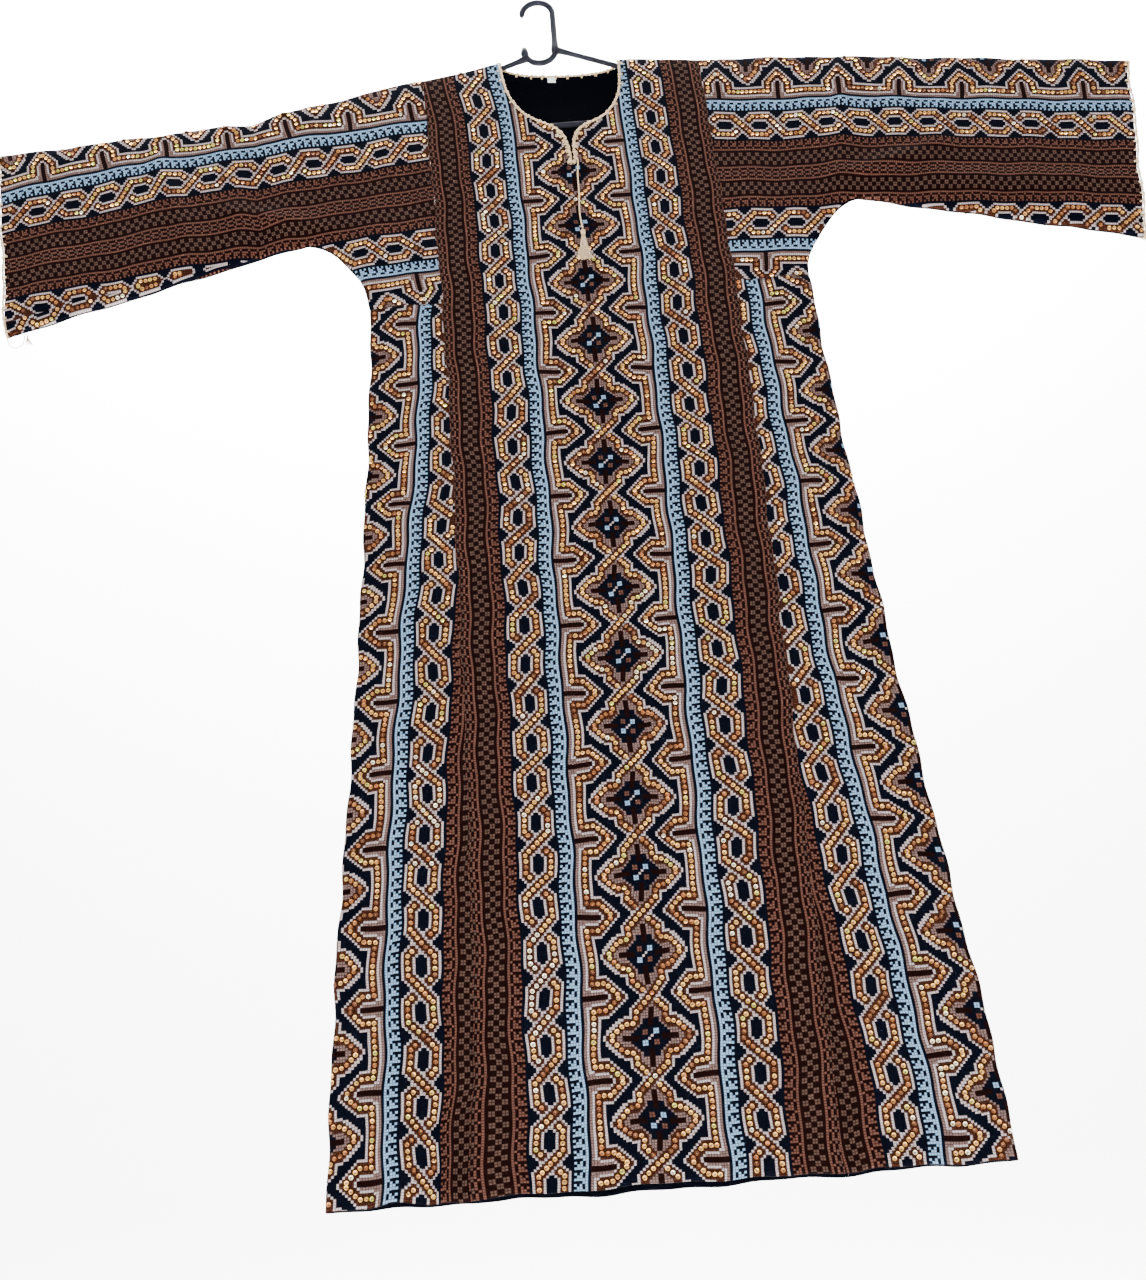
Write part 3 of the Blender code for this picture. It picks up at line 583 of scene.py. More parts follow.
def panel_pattern(x, z, front):
    """Stitch counts on the centre panel, running on over the shoulder."""
    down = (FIRST_MEDALLION - z) / STITCH + panel_slip(x, z)
    over = (FIRST_MEDALLION - 2 * shoulder_share(x, z) + z) / STITCH
    return x / STITCH + np.where(front, shoulder_slip(x, z), 0.0), np.where(front, down, over)


def panel_place(p, q):
    """Flat place and face of stitch counts on the centre panel."""
    x = p * STITCH
    z = FIRST_MEDALLION - q * STITCH
    for _ in range(10):
        x = (p - shoulder_slip(x, z)) * STITCH
        z = FIRST_MEDALLION - (q - panel_slip(x, z)) * STITCH
    front = z <= shoulder_line(x)
    x = np.where(front, x, p * STITCH)
    back_z = shoulder_line(x) - 0.1
    for _ in range(8):
        back_z = q * STITCH - FIRST_MEDALLION + 2 * shoulder_share(x, back_z)
    return x, np.where(front, z, back_z), front


def seam_height(side, x):
    """Height of the seam below the arm over the sleeve's lower edge, at distances from the middle."""
    if side["sign"] > 0:
        return np.zeros(np.shape(x))
    return from_rows(SEAM_ROWS, np.abs(x), 1)[0]


def sleeve_count(side, x, fall):
    """Count p on a sleeve. The fall is in stitches, below zero on the back."""
    top, middle, low = from_rows(side["sleeve_rows"], np.abs(x), 1, 2, 3)
    upper = top + fall * (middle - top) / MIDDLE_FALL
    lower = middle + (fall - MIDDLE_FALL) * (low - middle) / (LOW_FALL - MIDDLE_FALL)
    behind = top + fall * (low - top) / LOW_FALL
    return np.where(fall < 0, behind, np.where(fall < MIDDLE_FALL, upper, lower))


def sleeve_fall(side, x, p):
    """Fall below the fold, in stitches, at which a sleeve has the count p."""
    top, middle, low = from_rows(side["sleeve_rows"], np.abs(x), 1, 2, 3)
    upper = (p - top) * MIDDLE_FALL / (middle - top)
    lower = MIDDLE_FALL + (p - middle) * (LOW_FALL - MIDDLE_FALL) / (low - middle)
    behind = (p - top) * LOW_FALL / (low - top)
    return np.where(p < top, behind, np.where(p < middle, upper, lower))


def seam_count(side, x):
    """Count p at the seam below the arm, on the front."""
    slope = math.radians(side["sleeve_slope"])
    fall = shoulder_line(x) - sleeve_bottom(x) - seam_height(side, x)
    return sleeve_count(side, x, fall * math.cos(slope) / STITCH)


def sleeve_pattern(side, x, z, front):
    """Stitch counts on a sleeve."""
    start, repeat = side["sleeve_repeat"]
    slope = math.radians(side["sleeve_slope"])
    fall = (shoulder_line(x) - z) * math.cos(slope) / STITCH
    along = (np.abs(x) * math.cos(slope) + (SLEEVE_HEIGHT - z) * math.sin(slope)) / STITCH
    return sleeve_count(side, x, np.where(front, fall, -fall)), (along - start) * REPEAT / repeat


def sleeve_place(side, p, q):
    """Flat place and face of stitch counts on a sleeve."""
    start, repeat = side["sleeve_repeat"]
    slope = math.radians(side["sleeve_slope"])
    along = (start + q * repeat / REPEAT) * STITCH
    x = side["sign"] * along / math.cos(slope)
    for _ in range(10):
        fall = sleeve_fall(side, x, p) * STITCH
        z = shoulder_line(x) - np.abs(fall) / math.cos(slope)
        x = side["sign"] * (along - (SLEEVE_HEIGHT - z) * math.sin(slope)) / math.cos(slope)
    return x, z, fall >= 0


def gore_pattern(side, x, z, front):
    """Stitch counts on a side gore, running on round the fold."""
    offset, start, repeat = side["gore_pattern"]
    slip_across, slip_along = from_rows(side["gore_slip"], z, 1, 2)
    away = (side_half(z, side["sign"]) - np.abs(x)) / STITCH
    down = (FIRST_MEDALLION - z) / STITCH
    along = (down - start) * REPEAT / repeat + slip_along
    return offset + slip_across + np.where(front, away, -away), along


def gore_place(side, p, q):
    """Flat place and face of stitch counts on a side gore."""
    offset, start, repeat = side["gore_pattern"]
    z = np.full(np.shape(q), MIDDLE_HEIGHT)
    for _ in range(10):
        slip_across, slip_along = from_rows(side["gore_slip"], z, 1, 2)
        z = FIRST_MEDALLION - (start + (q - slip_along) * repeat / REPEAT) * STITCH
    away = (p - offset - slip_across) * STITCH
    return side["sign"] * (side_half(z, side["sign"]) - np.abs(away)), z, away >= 0


# Mesh helpers


def clear_selection():
    for obj in bpy.context.selected_objects:
        obj.select_set(False)


def make_active(obj):
    clear_selection()
    obj.select_set(True)
    bpy.context.view_layer.objects.active = obj


def add_mesh(name, places, faces, finishes):
    """A mesh object at the origin with the given finishes."""
    mesh = bpy.data.meshes.new(name)
    mesh.from_pydata([tuple(place) for place in places], [], faces)
    obj = bpy.data.objects.new(name, mesh)
    bpy.context.collection.objects.link(obj)
    for finish in finishes:
        mesh.materials.append(finish)
    mesh.validate()
    return obj


def apply_modifier(obj, kind, **settings):
    """Adds a modifier to an object and applies it."""
    modifier = obj.modifiers.new(kind.lower(), kind)
    for key, value in settings.items():
        setattr(modifier, key, value)
    make_active(obj)
    bpy.ops.object.modifier_apply(modifier=modifier.name)


def smooth(obj, angle=50):
    make_active(obj)
    bpy.ops.object.shade_smooth_by_angle(angle=math.radians(angle))


def bend_steps(bend, count=6):
    """Distances from a fold that follow its round bend."""
    return bend * (1 - np.cos(np.linspace(0, math.pi / 2, count)))


def steps_between(start, end, spacing):
    """Even distances after start up to end."""
    count = max(1, round((end - start) / spacing))
    return start + (end - start) * np.arange(1, count + 1) / count


def cloth_sheet(name, x, z, front, counts, finish, past_seam=None):
    """A wall of cloth on a grid of flat places, with the stitch counts as its UV map.

    past_seam gives, for each place, the count p of the seam and whether the place lies past it. The
    counts of faces past the seam turn back there.
    """
    places = cloth_places(x, z, front)
    least = WALL / 2 + SEAM_GAP / 2
    free = np.abs(x) > PANEL_HALF
    edge = distance_to_path(np.abs(x), z, OUTLINES["left"])
    edge = np.where(x < 0, edge, distance_to_path(np.abs(x), z, OUTLINES["right"]))
    lift = free & (edge > SIDE_BEND) & (shoulder_line(x) - z > SHOULDER_BEND)
    apart = np.where(front, -1, 1) * np.maximum(np.abs(places[..., 1]), least)
    places[..., 1] = np.where(lift, apart, places[..., 1])
    rows, columns = x.shape
    index = np.arange(rows * columns).reshape(rows, columns)
    corners = (index[:-1, :-1], index[1:, :-1], index[1:, 1:], index[:-1, 1:])
    faces = np.stack([corner.ravel() for corner in corners], axis=-1)
    obj = add_mesh(name, places.reshape(-1, 3), faces.tolist(), [finish, shaded_lining()])
    p, q = counts
    uv = obj.data.uv_layers.new(name="stitches")
    flat = np.stack([p.ravel(), q.ravel()], axis=-1)[faces]
    if past_seam is not None:
        at_seam, is_past = past_seam
        beyond = is_past.ravel()[faces].all(axis=1)
        turned = 2 * at_seam.ravel()[faces] - flat[:, :, 0]
        flat[:, :, 0] = np.where(beyond[:, None], turned, flat[:, :, 0])
    uv.data.foreach_set("uv", flat.ravel())
    apply_modifier(
        obj,
        "SOLIDIFY",
        thickness=WALL,
        offset=0.0,
        use_even_offset=True,
        material_offset=1,
        material_offset_rim=1,
    )
    obj.data.shade_smooth()
    return obj


def unit(vectors):
    return vectors / np.maximum(np.linalg.norm(vectors, axis=-1, keepdims=True), 1e-12)


def evenly(rows, spacing, closed=False):
    """Rows at an even spacing along a line whose points are their first three columns."""
    rows = np.asarray(rows, dtype=float)
    if closed:
        rows = np.concatenate([rows, rows[:1]])
    reached = np.concatenate([[0], np.cumsum(np.linalg.norm(np.diff(rows[:, :3], axis=0), axis=1))])
    count = max(2, round(reached[-1] / spacing))
    wanted = reached[-1] * np.arange(count if closed else count + 1) / count
    return np.stack([np.interp(wanted, reached, column) for column in rows.T], axis=-1)


def rings_along(points, radii, sides, closed, ridge):
    """Rings of points round a line, and the line's length up to each. A ridge makes two twisted plies."""
    if closed:
        along = unit(np.roll(points, -1, axis=0) - np.roll(points, 1, axis=0))
    else:
        along = unit(np.gradient(points, axis=0))
    lengths = np.concatenate([[0.0], np.cumsum(np.linalg.norm(np.diff(points, axis=0), axis=1))])
    lean = np.array([0.0, 1.0, 0.0]) if abs(along[0][1]) < 0.9 else np.array([1.0, 0.0, 0.0])
    upward = np.empty_like(points)
    for i, direction in enumerate(along):
        lean = unit(lean - direction * (lean @ direction))
        upward[i] = lean
    sideways = np.cross(along, upward)
    angles = 2 * math.pi * np.arange(sides) / sides
    pitch = 7 * np.max(radii)
    ply = 1 + ridge * np.cos(2 * angles[None, :] - 4 * math.pi * lengths[:, None] / pitch)
    reach = np.broadcast_to(radii, lengths.shape)[:, None] * ply
    rings = upward[:, None, :] * (reach * np.cos(angles))[..., None]
    rings = rings + sideways[:, None, :] * (reach * np.sin(angles))[..., None]
    return points[:, None, :] + rings, lengths


def threads(name, lines, finish):
    """One mesh of round threads: points, radius or radii, sides, and whether closed and how ridged."""
    places, faces, turns = [], [], []
    for points, radii, sides, closed, ridge in lines:
        rings, lengths = rings_along(np.asarray(points, dtype=float), radii, sides, closed, ridge)
        first, count = len(places), len(rings)
        places += rings.reshape(-1, 3).tolist()
        for i in range(count if closed else count - 1):
            j = (i + 1) % count
            near = lengths[i]
            far = lengths[j] if j else near + lengths[1]
            for k in range(sides):
                m = (k + 1) % sides
                corners = (i * sides + k, i * sides + m, j * sides + m, j * sides + k)
                faces.append(tuple(first + corner for corner in corners))
                left, right = k / sides, (k + 1) / sides
                turns += [(near, left), (near, right), (far, right), (far, left)]
        if not closed:
            last = first + (count - 1) * sides
            faces.append(tuple(range(first + sides - 1, first - 1, -1)))
            faces.append(tuple(range(last, last + sides)))
            turns += [(0.0, 0.0)] * sides + [(lengths[-1], 0.0)] * sides
    obj = add_mesh(name, places, faces, [finish])
    uv = obj.data.uv_layers.new(name="along")
    uv.data.foreach_set("uv", np.array(turns, dtype=float).ravel())
    smooth(obj)
    return obj


def turn_outward(obj):
    make_active(obj)
    bpy.ops.object.mode_set(mode="EDIT")
    bpy.ops.mesh.select_all(action="SELECT")
    bpy.ops.mesh.normals_make_consistent(inside=False)
    bpy.ops.object.mode_set(mode="OBJECT")


def join_pieces(pieces, name):
    """Joins objects into one that keeps the name."""
    clear_selection()
    for piece in pieces:
        piece.select_set(True)
    bpy.context.view_layer.objects.active = pieces[0]
    if len(pieces) > 1:
        bpy.ops.object.join()
    pieces[0].name = name
    pieces[0].data.name = name
    return pieces[0]


# Finishes


def operation(kind, swapped=False):
    """A method that adds a Math node of one kind."""
    if swapped:
        return lambda signal, other: signal.maths(kind, other, signal)
    return lambda signal, *others: signal.maths(kind, signal, *others)


class Signal:
    """A value that changes over a surface. Python's operators on it add Math nodes."""

    def __init__(self, finish, socket):
        self.finish = finish
        self.socket = socket

    def maths(self, kind, *values):
        return self.finish.add("Math", {"operation": kind}, dict(enumerate(values)))

    __add__ = __radd__ = operation("ADD")
    __sub__ = operation("SUBTRACT")
    __rsub__ = operation("SUBTRACT", swapped=True)
    __mul__ = __rmul__ = operation("MULTIPLY")
    __truediv__ = operation("DIVIDE")
    __mod__ = operation("FLOORED_MODULO")
    __abs__ = operation("ABSOLUTE")
    __floor__ = operation("FLOOR")
    __lt__ = operation("LESS_THAN")
    __gt__ = operation("GREATER_THAN")
    fraction = operation("FRACT")
    at_most = operation("MINIMUM")


class Finish:
    """A material being built, with one method that adds any node to it."""

    def __init__(self, name, roughness=0.8, **constants):
        self.material = bpy.data.materials.new(name)
        self.material.use_nodes = True
        self.tree = self.material.node_tree
        self.shader = self.tree.nodes["Principled BSDF"]
        self.shader.inputs["Roughness"].default_value = roughness
        for key, value in constants.items():
            self.shader.inputs[key.replace("_", " ")].default_value = value

    def add(self, kind, settings=None, sockets=None, output=0):
        node = self.tree.nodes.new("ShaderNode" + kind)
        for key, value in (settings or {}).items():
            if key == "stops":
                set_stops(node.color_ramp, value)
            elif key == "interpolation":
                node.color_ramp.interpolation = value
            else:
                setattr(node, key, value)
        for key, value in (sockets or {}).items():
            if isinstance(value, Signal):
                self.tree.links.new(value.socket, node.inputs[key])
            else:
                node.inputs[key].default_value = value
        return Signal(self, node.outputs[output])

    def steps(self, value, colours):
        """A ramp without blending: equal steps of colour."""
        stops = [(i / len(colours), colour) for i, colour in enumerate(colours)]
        return self.add("ValToRGB", {"interpolation": "CONSTANT", "stops": stops}, {0: value})

    def ramp(self, value, stops):
        return self.add("ValToRGB", {"stops": stops}, {0: value})

    def blend(self, factor, one, other, mode="MIX"):
        settings = {"data_type": "RGBA", "blend_type": mode, "clamp_factor": True}
        return self.add("Mix", settings, {0: factor, 6: one, 7: other}, output=2)

    def place(self):
        """Place on the object, in metres."""
        return self.add("TexCoord", output=3)

    def part(self, vector, axis):
        return self.add("SeparateXYZ", {}, {0: vector}, output="XYZ".index(axis))

    def vector(self, x, y, z=0.0):
        return self.add("CombineXYZ", {}, {0: x, 1: y, 2: z})

    def noise(self, place, scale, detail=2.0, roughness=0.5):
        sockets = {"Vector": place, "Scale": scale, "Detail": detail, "Roughness": roughness}
        return self.add("TexNoise", {}, sockets)

    def feed(self, socket, signal):
        self.tree.links.new(signal.socket, self.shader.inputs[socket])

    def tint(self, colour, shade):
        """Feeds a colour that is made darker or lighter by a shade."""
        self.feed("Base Color", self.blend(1.0, colour, self.vector(shade, shade, shade), mode="MULTIPLY"))

    def bump(self, height, distance, strength=1.0):
        sockets = {"Height": height, "Distance": distance, "Strength": strength}
        self.feed("Normal", self.add("Bump", {}, sockets))


def set_stops(ramp, stops):
    """Gives a ramp its stops: place and colour."""
    while len(ramp.elements) < len(stops):
        ramp.elements.new(1.0)
    for element, (place, colour) in zip(ramp.elements, stops):
        element.position = place
        element.color = colour if len(colour) == 4 else (*colour, 1.0)


def strand_code(distance):
    """Stitch colours of a sequined strand: dark rust under the sequins, which reaches past their edges and
    there partly stands for their painted shadow, and pale outlines beside them.
    """
    if distance <= STRAND_HALF:
        return RUST_AND_SEQUIN_SHADOW
    if distance <= OUTLINE_HALF:
        return PALE
    return None


def path_distance(p, q, path):
    return float(distance_to_path(np.array(p), np.array(q), path))


def main_stitch(p, q):
    """Colour code of a stitch between a medallion's middle line and the meander's outer line."""
    from_row = min(q, REPEAT - q)
    edge = np.interp(from_row, (0.0, 4.99, 5.01, 6.5, 9.5, 15.0), (14.4, 9.6, 7.0, 5.5, 5.5, 0.0))
    for path in (MEDALLION_UPPER, MEDALLION_LOWER):
        code = strand_code(path_distance(p, q, path))
        if code is not None:
            return PINKISH if code == PALE and p < edge else code
    code = strand_code(path_distance(p, q, MEANDER))
    if code is not None:
        return code
    from_slot = abs(q - REPEAT / 2)
    tooth = np.interp(from_slot, (0.0, 5.0, 5.01), (10.7, 15.7, 20.5))
    if p > tooth:
        return MAROON if from_slot < 1 else PINKISH
    if p > edge:
        return NAVY
    return heart_stitch(p, q, from_row)


def heart_stitch(p, q, from_row):
    """Stitches inside a medallion: two blue and two brown squares, and a dark bar in each arm."""
    lower = q < REPEAT / 2
    if 1 < p < 3 and 1 < from_row < 3:
        return BROWN if lower else LIGHT_BLUE
    if p < 1 and from_row < 1:
        return NAVY if lower else PALE
    if from_row < 1 and p > 4 or p < 1 and from_row > 4:
        return MAROON
    if from_row < 3 and p > 6.5 or p < 3 and from_row > 6.5:
        return PINKISH
    return NAVY


def chain_stitch(p, q):
    """Colour code of a stitch in the chain."""
    for path in (CHAIN_OVER, CHAIN_UNDER):
        code = strand_code(path_distance(p - CHAIN_MIDDLE, q, path))
        if code is not None:
            return code
    return NAVY


def band_stitch(column, row):
    """Colour code of a stitch in the straight bands."""
    if column in (27, 28, 29):
        return LIGHT_BLUE if ARROW[row][column - 27] == "X" else NAVY
    if column in (46, 47, 48):
        return BROWN if ARROW[row][48 - column] == "X" else MAROON
    if column in (61, 62, 63):
        return BROWN if ARROW[row][min(column - 61, 2)] == "X" else MAROON
    if column == 25:
        return LIGHT_BLUE
    if column == 26:
        return LIGHT_BLUE if row > 1 else NAVY
    if column in (50, 59):
        return BROWN
    if column in (49, 60):
        return BROWN if row == 3 else MAROON
    if 52 <= column <= 57:
        return CHECKER if (row // 2 + (column - 52) // 2) % 2 == 0 else MAROON
    return MAROON if column > 46 else NAVY


def packed(codes):
    """Eight stitch codes as one number below 1, three bits each."""
    return sum(code / 8 ** (i + 1) for i, code in enumerate(codes))


def packed_rows(rows, groups, stitch):
    """One colour for each row: each channel holds a group of eight columns."""
    colours = []
    for row in range(rows):
        channels = [packed([stitch(column, row) for column in group]) for group in groups]
        channels += [0.0] * (3 - len(channels))
        colours.append(tuple(channels))
    return colours


def embroidery(name, left_phase, right_phase, far_phase=0.0, far_shift=0.0):
    """The embroidered cloth: charts of stitches looked up from the stitch counts.

    The phases place the chains left and right of the middle and beyond the mirror line, and the shift
    places the medallions beyond it.
    """
    if name in bpy.data.materials:
        return bpy.data.materials[name]
    look = bpy.context.scene.dress_cloth
    cloth = Finish(name, roughness=0.95, Specular_IOR_Level=0.02)
    counts = cloth.add("UVMap", {"uv_map": "stitches"})
    p, q = cloth.part(counts, "X"), cloth.part(counts, "Y")
    away = abs(p)
    folded = MIRROR_LINE - abs(away - MIRROR_LINE)
    column = math.floor(folded)
    place = column + (column > 30.5) + (column > 45.5)
    group = math.floor(place / 8)
    digit = place - group * 8
    side = p < 0

    far = away > MIRROR_LINE
    turned = (q - far * far_shift) * (1 - 2 * side)
    main_row = math.floor(turned % REPEAT)
    band_row = math.floor(q % BAND_REPEAT)
    phase = right_phase + side * (left_phase - right_phase)
    phase = phase + far * (far_phase - phase)
    chain_row = math.floor(((q - phase) * (CHAIN_ROWS / CHAIN_REPEAT)) % CHAIN_ROWS)

    main_chart = packed_rows(
        REPEAT,
        [range(0, 8), range(8, 16), range(16, 24)],
        lambda c, r: main_stitch(c + 0.5, r + 0.5),
    )
    chain_chart = packed_rows(
        CHAIN_ROWS,
        [range(31, 39), range(39, 47)],
        lambda c, r: chain_stitch(c + 0.5, r + 0.5),
    )
    band_groups = [(24, 25, 26, 27, 28, 29, 30, 30), tuple(range(46, 54)), tuple(range(54, 62))]
    band_chart = packed_rows(BAND_REPEAT, band_groups, band_stitch)

    def chosen(rows, row, chart, group_of):
        colours = cloth.steps((row + 0.5) / rows, chart)
        picks = [tuple(1.0 if group_of[channel] == g else 0.0 for channel in range(3)) for g in range(8)]
        pick = cloth.steps((group + 0.5) / 8, picks)
        return cloth.add("VectorMath", {"operation": "DOT_PRODUCT"}, {0: colours, 1: pick}, output=1)

    value = chosen(REPEAT, main_row, main_chart, (0, 1, 2))
    value = value + chosen(BAND_REPEAT, band_row, band_chart, (3, 6, 7))
    value = value + chosen(CHAIN_ROWS, chain_row, chain_chart, (4, 5, -1))
    scales = [(8.0 ** (i - 7),) * 3 for i in range(8)]
    scale = cloth.part(cloth.steps((digit + 0.5) / 8, scales), "X") * 8.0**7
    code = math.floor((value * scale).fraction() * 8)

    threads = [getattr(look, key) for key in THREADS]
    colour = cloth.steps((code + 0.5) / 8, [tuple(thread) for thread in threads])
    stitched = code > 1.5

    across, along = p.fraction(), q.fraction()
    from_edge = (0.5 - abs(across - 0.5)).at_most(0.5 - abs(along - 0.5))
    pillow = (from_edge * 3.3).at_most(1)
    grain = cloth.noise(cloth.vector(p, q), 1.3, detail=3.0)
    wide = cloth.noise(cloth.vector(p, q), 0.035, detail=2.0)
    # Stitched colours fall to a fifth at each stitch's edge: partly the dark ground showing between
    # stitches, partly painted shade in the dips between them
    shade = (0.72 + grain * 0.34 + wide * 0.22) * (1 - stitched * (1 - pillow) * 0.8)
    cloth.tint(colour, shade)
    cloth.bump(stitched * pillow + grain * 0.25, 0.0006, 0.8)
    return cloth.material


def shared(name):
    """Lets a function that builds a finish do so once. Pieces that ask again share what it built."""

    def wrap(build):
        def get():
            if name not in bpy.data.materials:
                build(name)
            return bpy.data.materials[name]

        return get

    return wrap


@shared("plain dark inside")
def shaded_lining(name):
    """The plain inside of the cloth, its navy darkened to about half the outside's: painted shade for the
    shadowed inside.
    """
    look = bpy.context.scene.dress_cloth
    inside = Finish(name, roughness=1.0, Specular_IOR_Level=0.02)
    place = inside.place()
    grain = inside.noise(place, 900.0, detail=2.0)
    wide = inside.noise(place, 12.0)
    # Painted shade: the navy is multiplied by about a half, darker than the outside cloth
    shade = 0.3 + grain * 0.3 + wide * 0.15
    inside.tint(look.navy, shade)
    inside.bump(grain, 0.0003, 0.5)


@shared("cream thread")
def cream_thread(name):
    """Twisted cream thread, banded along its length by painted shade in the valleys of its twist."""
    look = bpy.context.scene.dress_trim
    thread = Finish(name, roughness=0.75, Sheen_Weight=0.2, Specular_IOR_Level=0.35)
    counts = thread.add("UVMap", {"uv_map": "along"})
    length, turn = thread.part(counts, "X"), thread.part(counts, "Y")
    twist = (length * 210 + turn * 2).fraction()
    ridge = 1 - abs(twist - 0.5) * 2
    place = thread.place()
    wide = thread.noise(place, 140.0)
    # Painted shade: the colour falls to about a third in the valleys of the twist
    shade = 0.16 + ridge * 0.70 + wide * 0.30
    thread.tint(look.cream, shade)
    thread.bump(ridge, 0.0004, 0.9)


@shared("sequin film")
def sequin_finish(name):
    """Cupped metallic film whose tint varies from sequin to sequin, with a dark hole and a thread knot. The
    palest tint is a painted highlight.
    """
    look = bpy.context.scene.dress_trim
    film = Finish(name, roughness=0.3, Metallic=0.85, Specular_IOR_Level=0.5)
    tint = film.add("Attribute", {"attribute_name": "tint"}, {}, output=2)
    hub = film.add("Attribute", {"attribute_name": "hub"}, {}, output=2)
    dark, hole, knot = (0.14, 0.045, 0.014, 1.0), (0.05, 0.015, 0.006, 1.0), (0.42, 0.23, 0.11, 1.0)
    places = (0.0, 0.18, 0.40, 0.72, 0.84, 0.90, 1.0)
    tones = (dark, look.copper, look.gold, look.gold, look.lime, look.lime, look.painted_glint)
    inner = hub > 0.2
    colour = film.blend(inner, film.ramp(tint, list(zip(places, tones))), hole)
    film.feed("Base Color", film.blend(hub > 0.8, colour, knot))
    film.feed("Roughness", 0.33 + inner * 0.4)
    film.feed("Metallic", 0.85 - inner * 0.8)


@shared("moulded black plastic")
def black_plastic(name):
    """Moulded black plastic with a faint grain and duller patches, which are painted lighter and bluish as
    a painted highlight.
    """
    look = bpy.context.scene.dress_trim
    plastic = Finish(name, roughness=0.6, Specular_IOR_Level=0.03)
    place = plastic.place()
    grain = plastic.noise(place, 700.0, detail=3.0)
    wide = plastic.noise(place, 25.0, detail=3.0)
    # Painted highlight: the duller patches are blended to a lighter bluish colour
    colour = plastic.blend(wide, tuple(look.plastic), (0.016, 0.017, 0.026, 1.0))
    plastic.feed("Base Color", colour)
    plastic.feed("Roughness", 0.46 + wide * 0.16)
    plastic.bump(grain, 0.0001, 0.3)


@shared("blank woven tape")
def label_tape(name):
    """Blank white woven tape."""
    look = bpy.context.scene.dress_trim
    tape = Finish(name, roughness=0.55, Sheen_Weight=0.1)
    place = tape.place()
    across = (tape.part(place, "X") * 2200).fraction()
    down = (tape.part(place, "Z") * 2200).fraction()
    rib = abs(across - 0.5) + abs(down - 0.5)
    shade = 0.8 + rib * 0.2
    tape.tint(look.tape, shade)
    tape.bump(rib, 0.0002, 0.5)


# Pieces


def stand_for(piece, node):
    """Puts a piece in the place of a solid, on the same body."""
    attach(piece, "root")
    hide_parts(node)


def both_faces(x, z):
    """Rows of one face, from its fold down, continued from the front to the back."""
    front = np.zeros((2 * len(z) - 1, z.shape[1]), dtype=bool)
    front[: len(z)] = True
    return [np.concatenate([grid[::-1], grid[1:]]) for grid in (x, z)] + [front]


def panel_grid():
    half = PANEL_HALF - CLOSED_GAP
    across = np.linspace(-half, half, round(2 * half / GRID) + 1)
    near = bend_steps(SHOULDER_BEND)
    top = shoulder_line(across)
    start = top - near[-1]
    count = round((float(np.mean(top)) - near[-1] - HEM_HEIGHT) / GRID)
    rows = [top - fall for fall in near]
    rows += [start + (HEM_HEIGHT - start) * i / count for i in range(1, count + 1)]
    face = np.array(rows)
    return [grid[::-1] for grid in both_faces(np.broadcast_to(across, face.shape), face)]


def neck_cutter(name, outline, near, far):
    """A prism through one face of the dress that cuts the neck."""
    top = 0.02
    moved = cloth_places(outline[:, 0], outline[:, 1], np.full(len(outline), near < -top))[:, [0, 2]]
    line = np.concatenate([moved, [[moved[-1][0], top], [moved[0][0], top]]])
    count = len(line)
    places = [(x, near, z) for x, z in line] + [(x, far, z) for x, z in line]
    faces = [tuple(range(count)), tuple(range(2 * count - 1, count - 1, -1))]
    faces += [(k, (k + 1) % count, count + (k + 1) % count, count + k) for k in range(count)]
    cutter = add_mesh(name, places, faces, [shaded_lining()])
    turn_outward(cutter)
    return cutter


class DRESS_OT_centre_panel(bpy.types.Operator):
    """Centre panel, one piece over both shoulders, with the round neck and the slit cut in it"""

    bl_idname = "dress.centre_panel"
    bl_label = "Centre panel"

    def execute(self, context):
        x, z, front = panel_grid()
        finish = embroidery("centre panel embroidery", *PANEL_PHASES)
        panel = cloth_sheet("embroidered_centre_panel", x, z, front, panel_pattern(x, z, front), finish)
        beyond = 0.04
        for name, outline, near, far in (
            ("front neck cutter", front_neck_outline(), -beyond, 0.0002),
            ("back neck cutter", back_neck_outline(), -0.0001, beyond),
        ):
            cutter = neck_cutter(name, outline, near, far)
            apply_modifier(panel, "BOOLEAN", operation="DIFFERENCE", solver="EXACT", object=cutter)
            bpy.data.objects.remove(cutter)
        stand_for(panel, "centre_panel")
        return {"FINISHED"}


def sleeve_grid(side):
    corner = float(side_half(GORE_TOP, side["sign"]))
    armpit_x = side["armpit"][0]
    start = PANEL_HALF + CLOSED_GAP
    inner = np.concatenate([[start], steps_between(start, corner - 0.0005, GRID)])
    turns = np.radians(np.linspace(0, 90, 14)[1:])
    armpit = armpit_x - (armpit_x - corner) * np.cos(turns)
    top_end, bottom_end = side["top"][-1][0], side["cuff_bottom"][0]
    outer = steps_between(armpit_x, top_end, GRID)
    top_x = np.concatenate([inner, armpit, outer])
    part = (outer - armpit_x) / (top_end - armpit_x)
    bottom_x = np.concatenate([inner, armpit, armpit_x + (bottom_end - armpit_x) * part])
    sign = side["sign"]
    top_z = shoulder_line(sign * top_x)
    lift = np.where(bottom_x < corner, CLOSED_GAP, 0.00015)
    bottom_z = sleeve_bottom(sign * bottom_x) + lift
    length = top_z - bottom_z
    near = bend_steps(SHOULDER_BEND)
    end = bend_steps(SIDE_BEND, 4)[::-1]
    falls = [np.full(length.shape, fall) for fall in near]
    last = length - end[0] - 0.002
    seam = np.minimum(length - seam_height(side, bottom_x), last - 0.002)
    for begin, stop, count in ((near[-1], seam, 42), (seam, last, 4)):
        for i in range(1, count + 1):
            falls.append(begin + (stop - begin) * i / count)
    falls += [length - step for step in end]
    falls = np.array(falls)
    x = top_x + (bottom_x - top_x) * falls / length
    return [grid.T[::sign] for grid in both_faces(x * sign, top_z - falls)]


def sleeve_embroidery(name, side):
    upper_phase, far_phase, far_shift = side["sleeve_phases"]
    return embroidery(name + " sleeve embroidery", upper_phase, upper_phase, far_phase, far_shift)


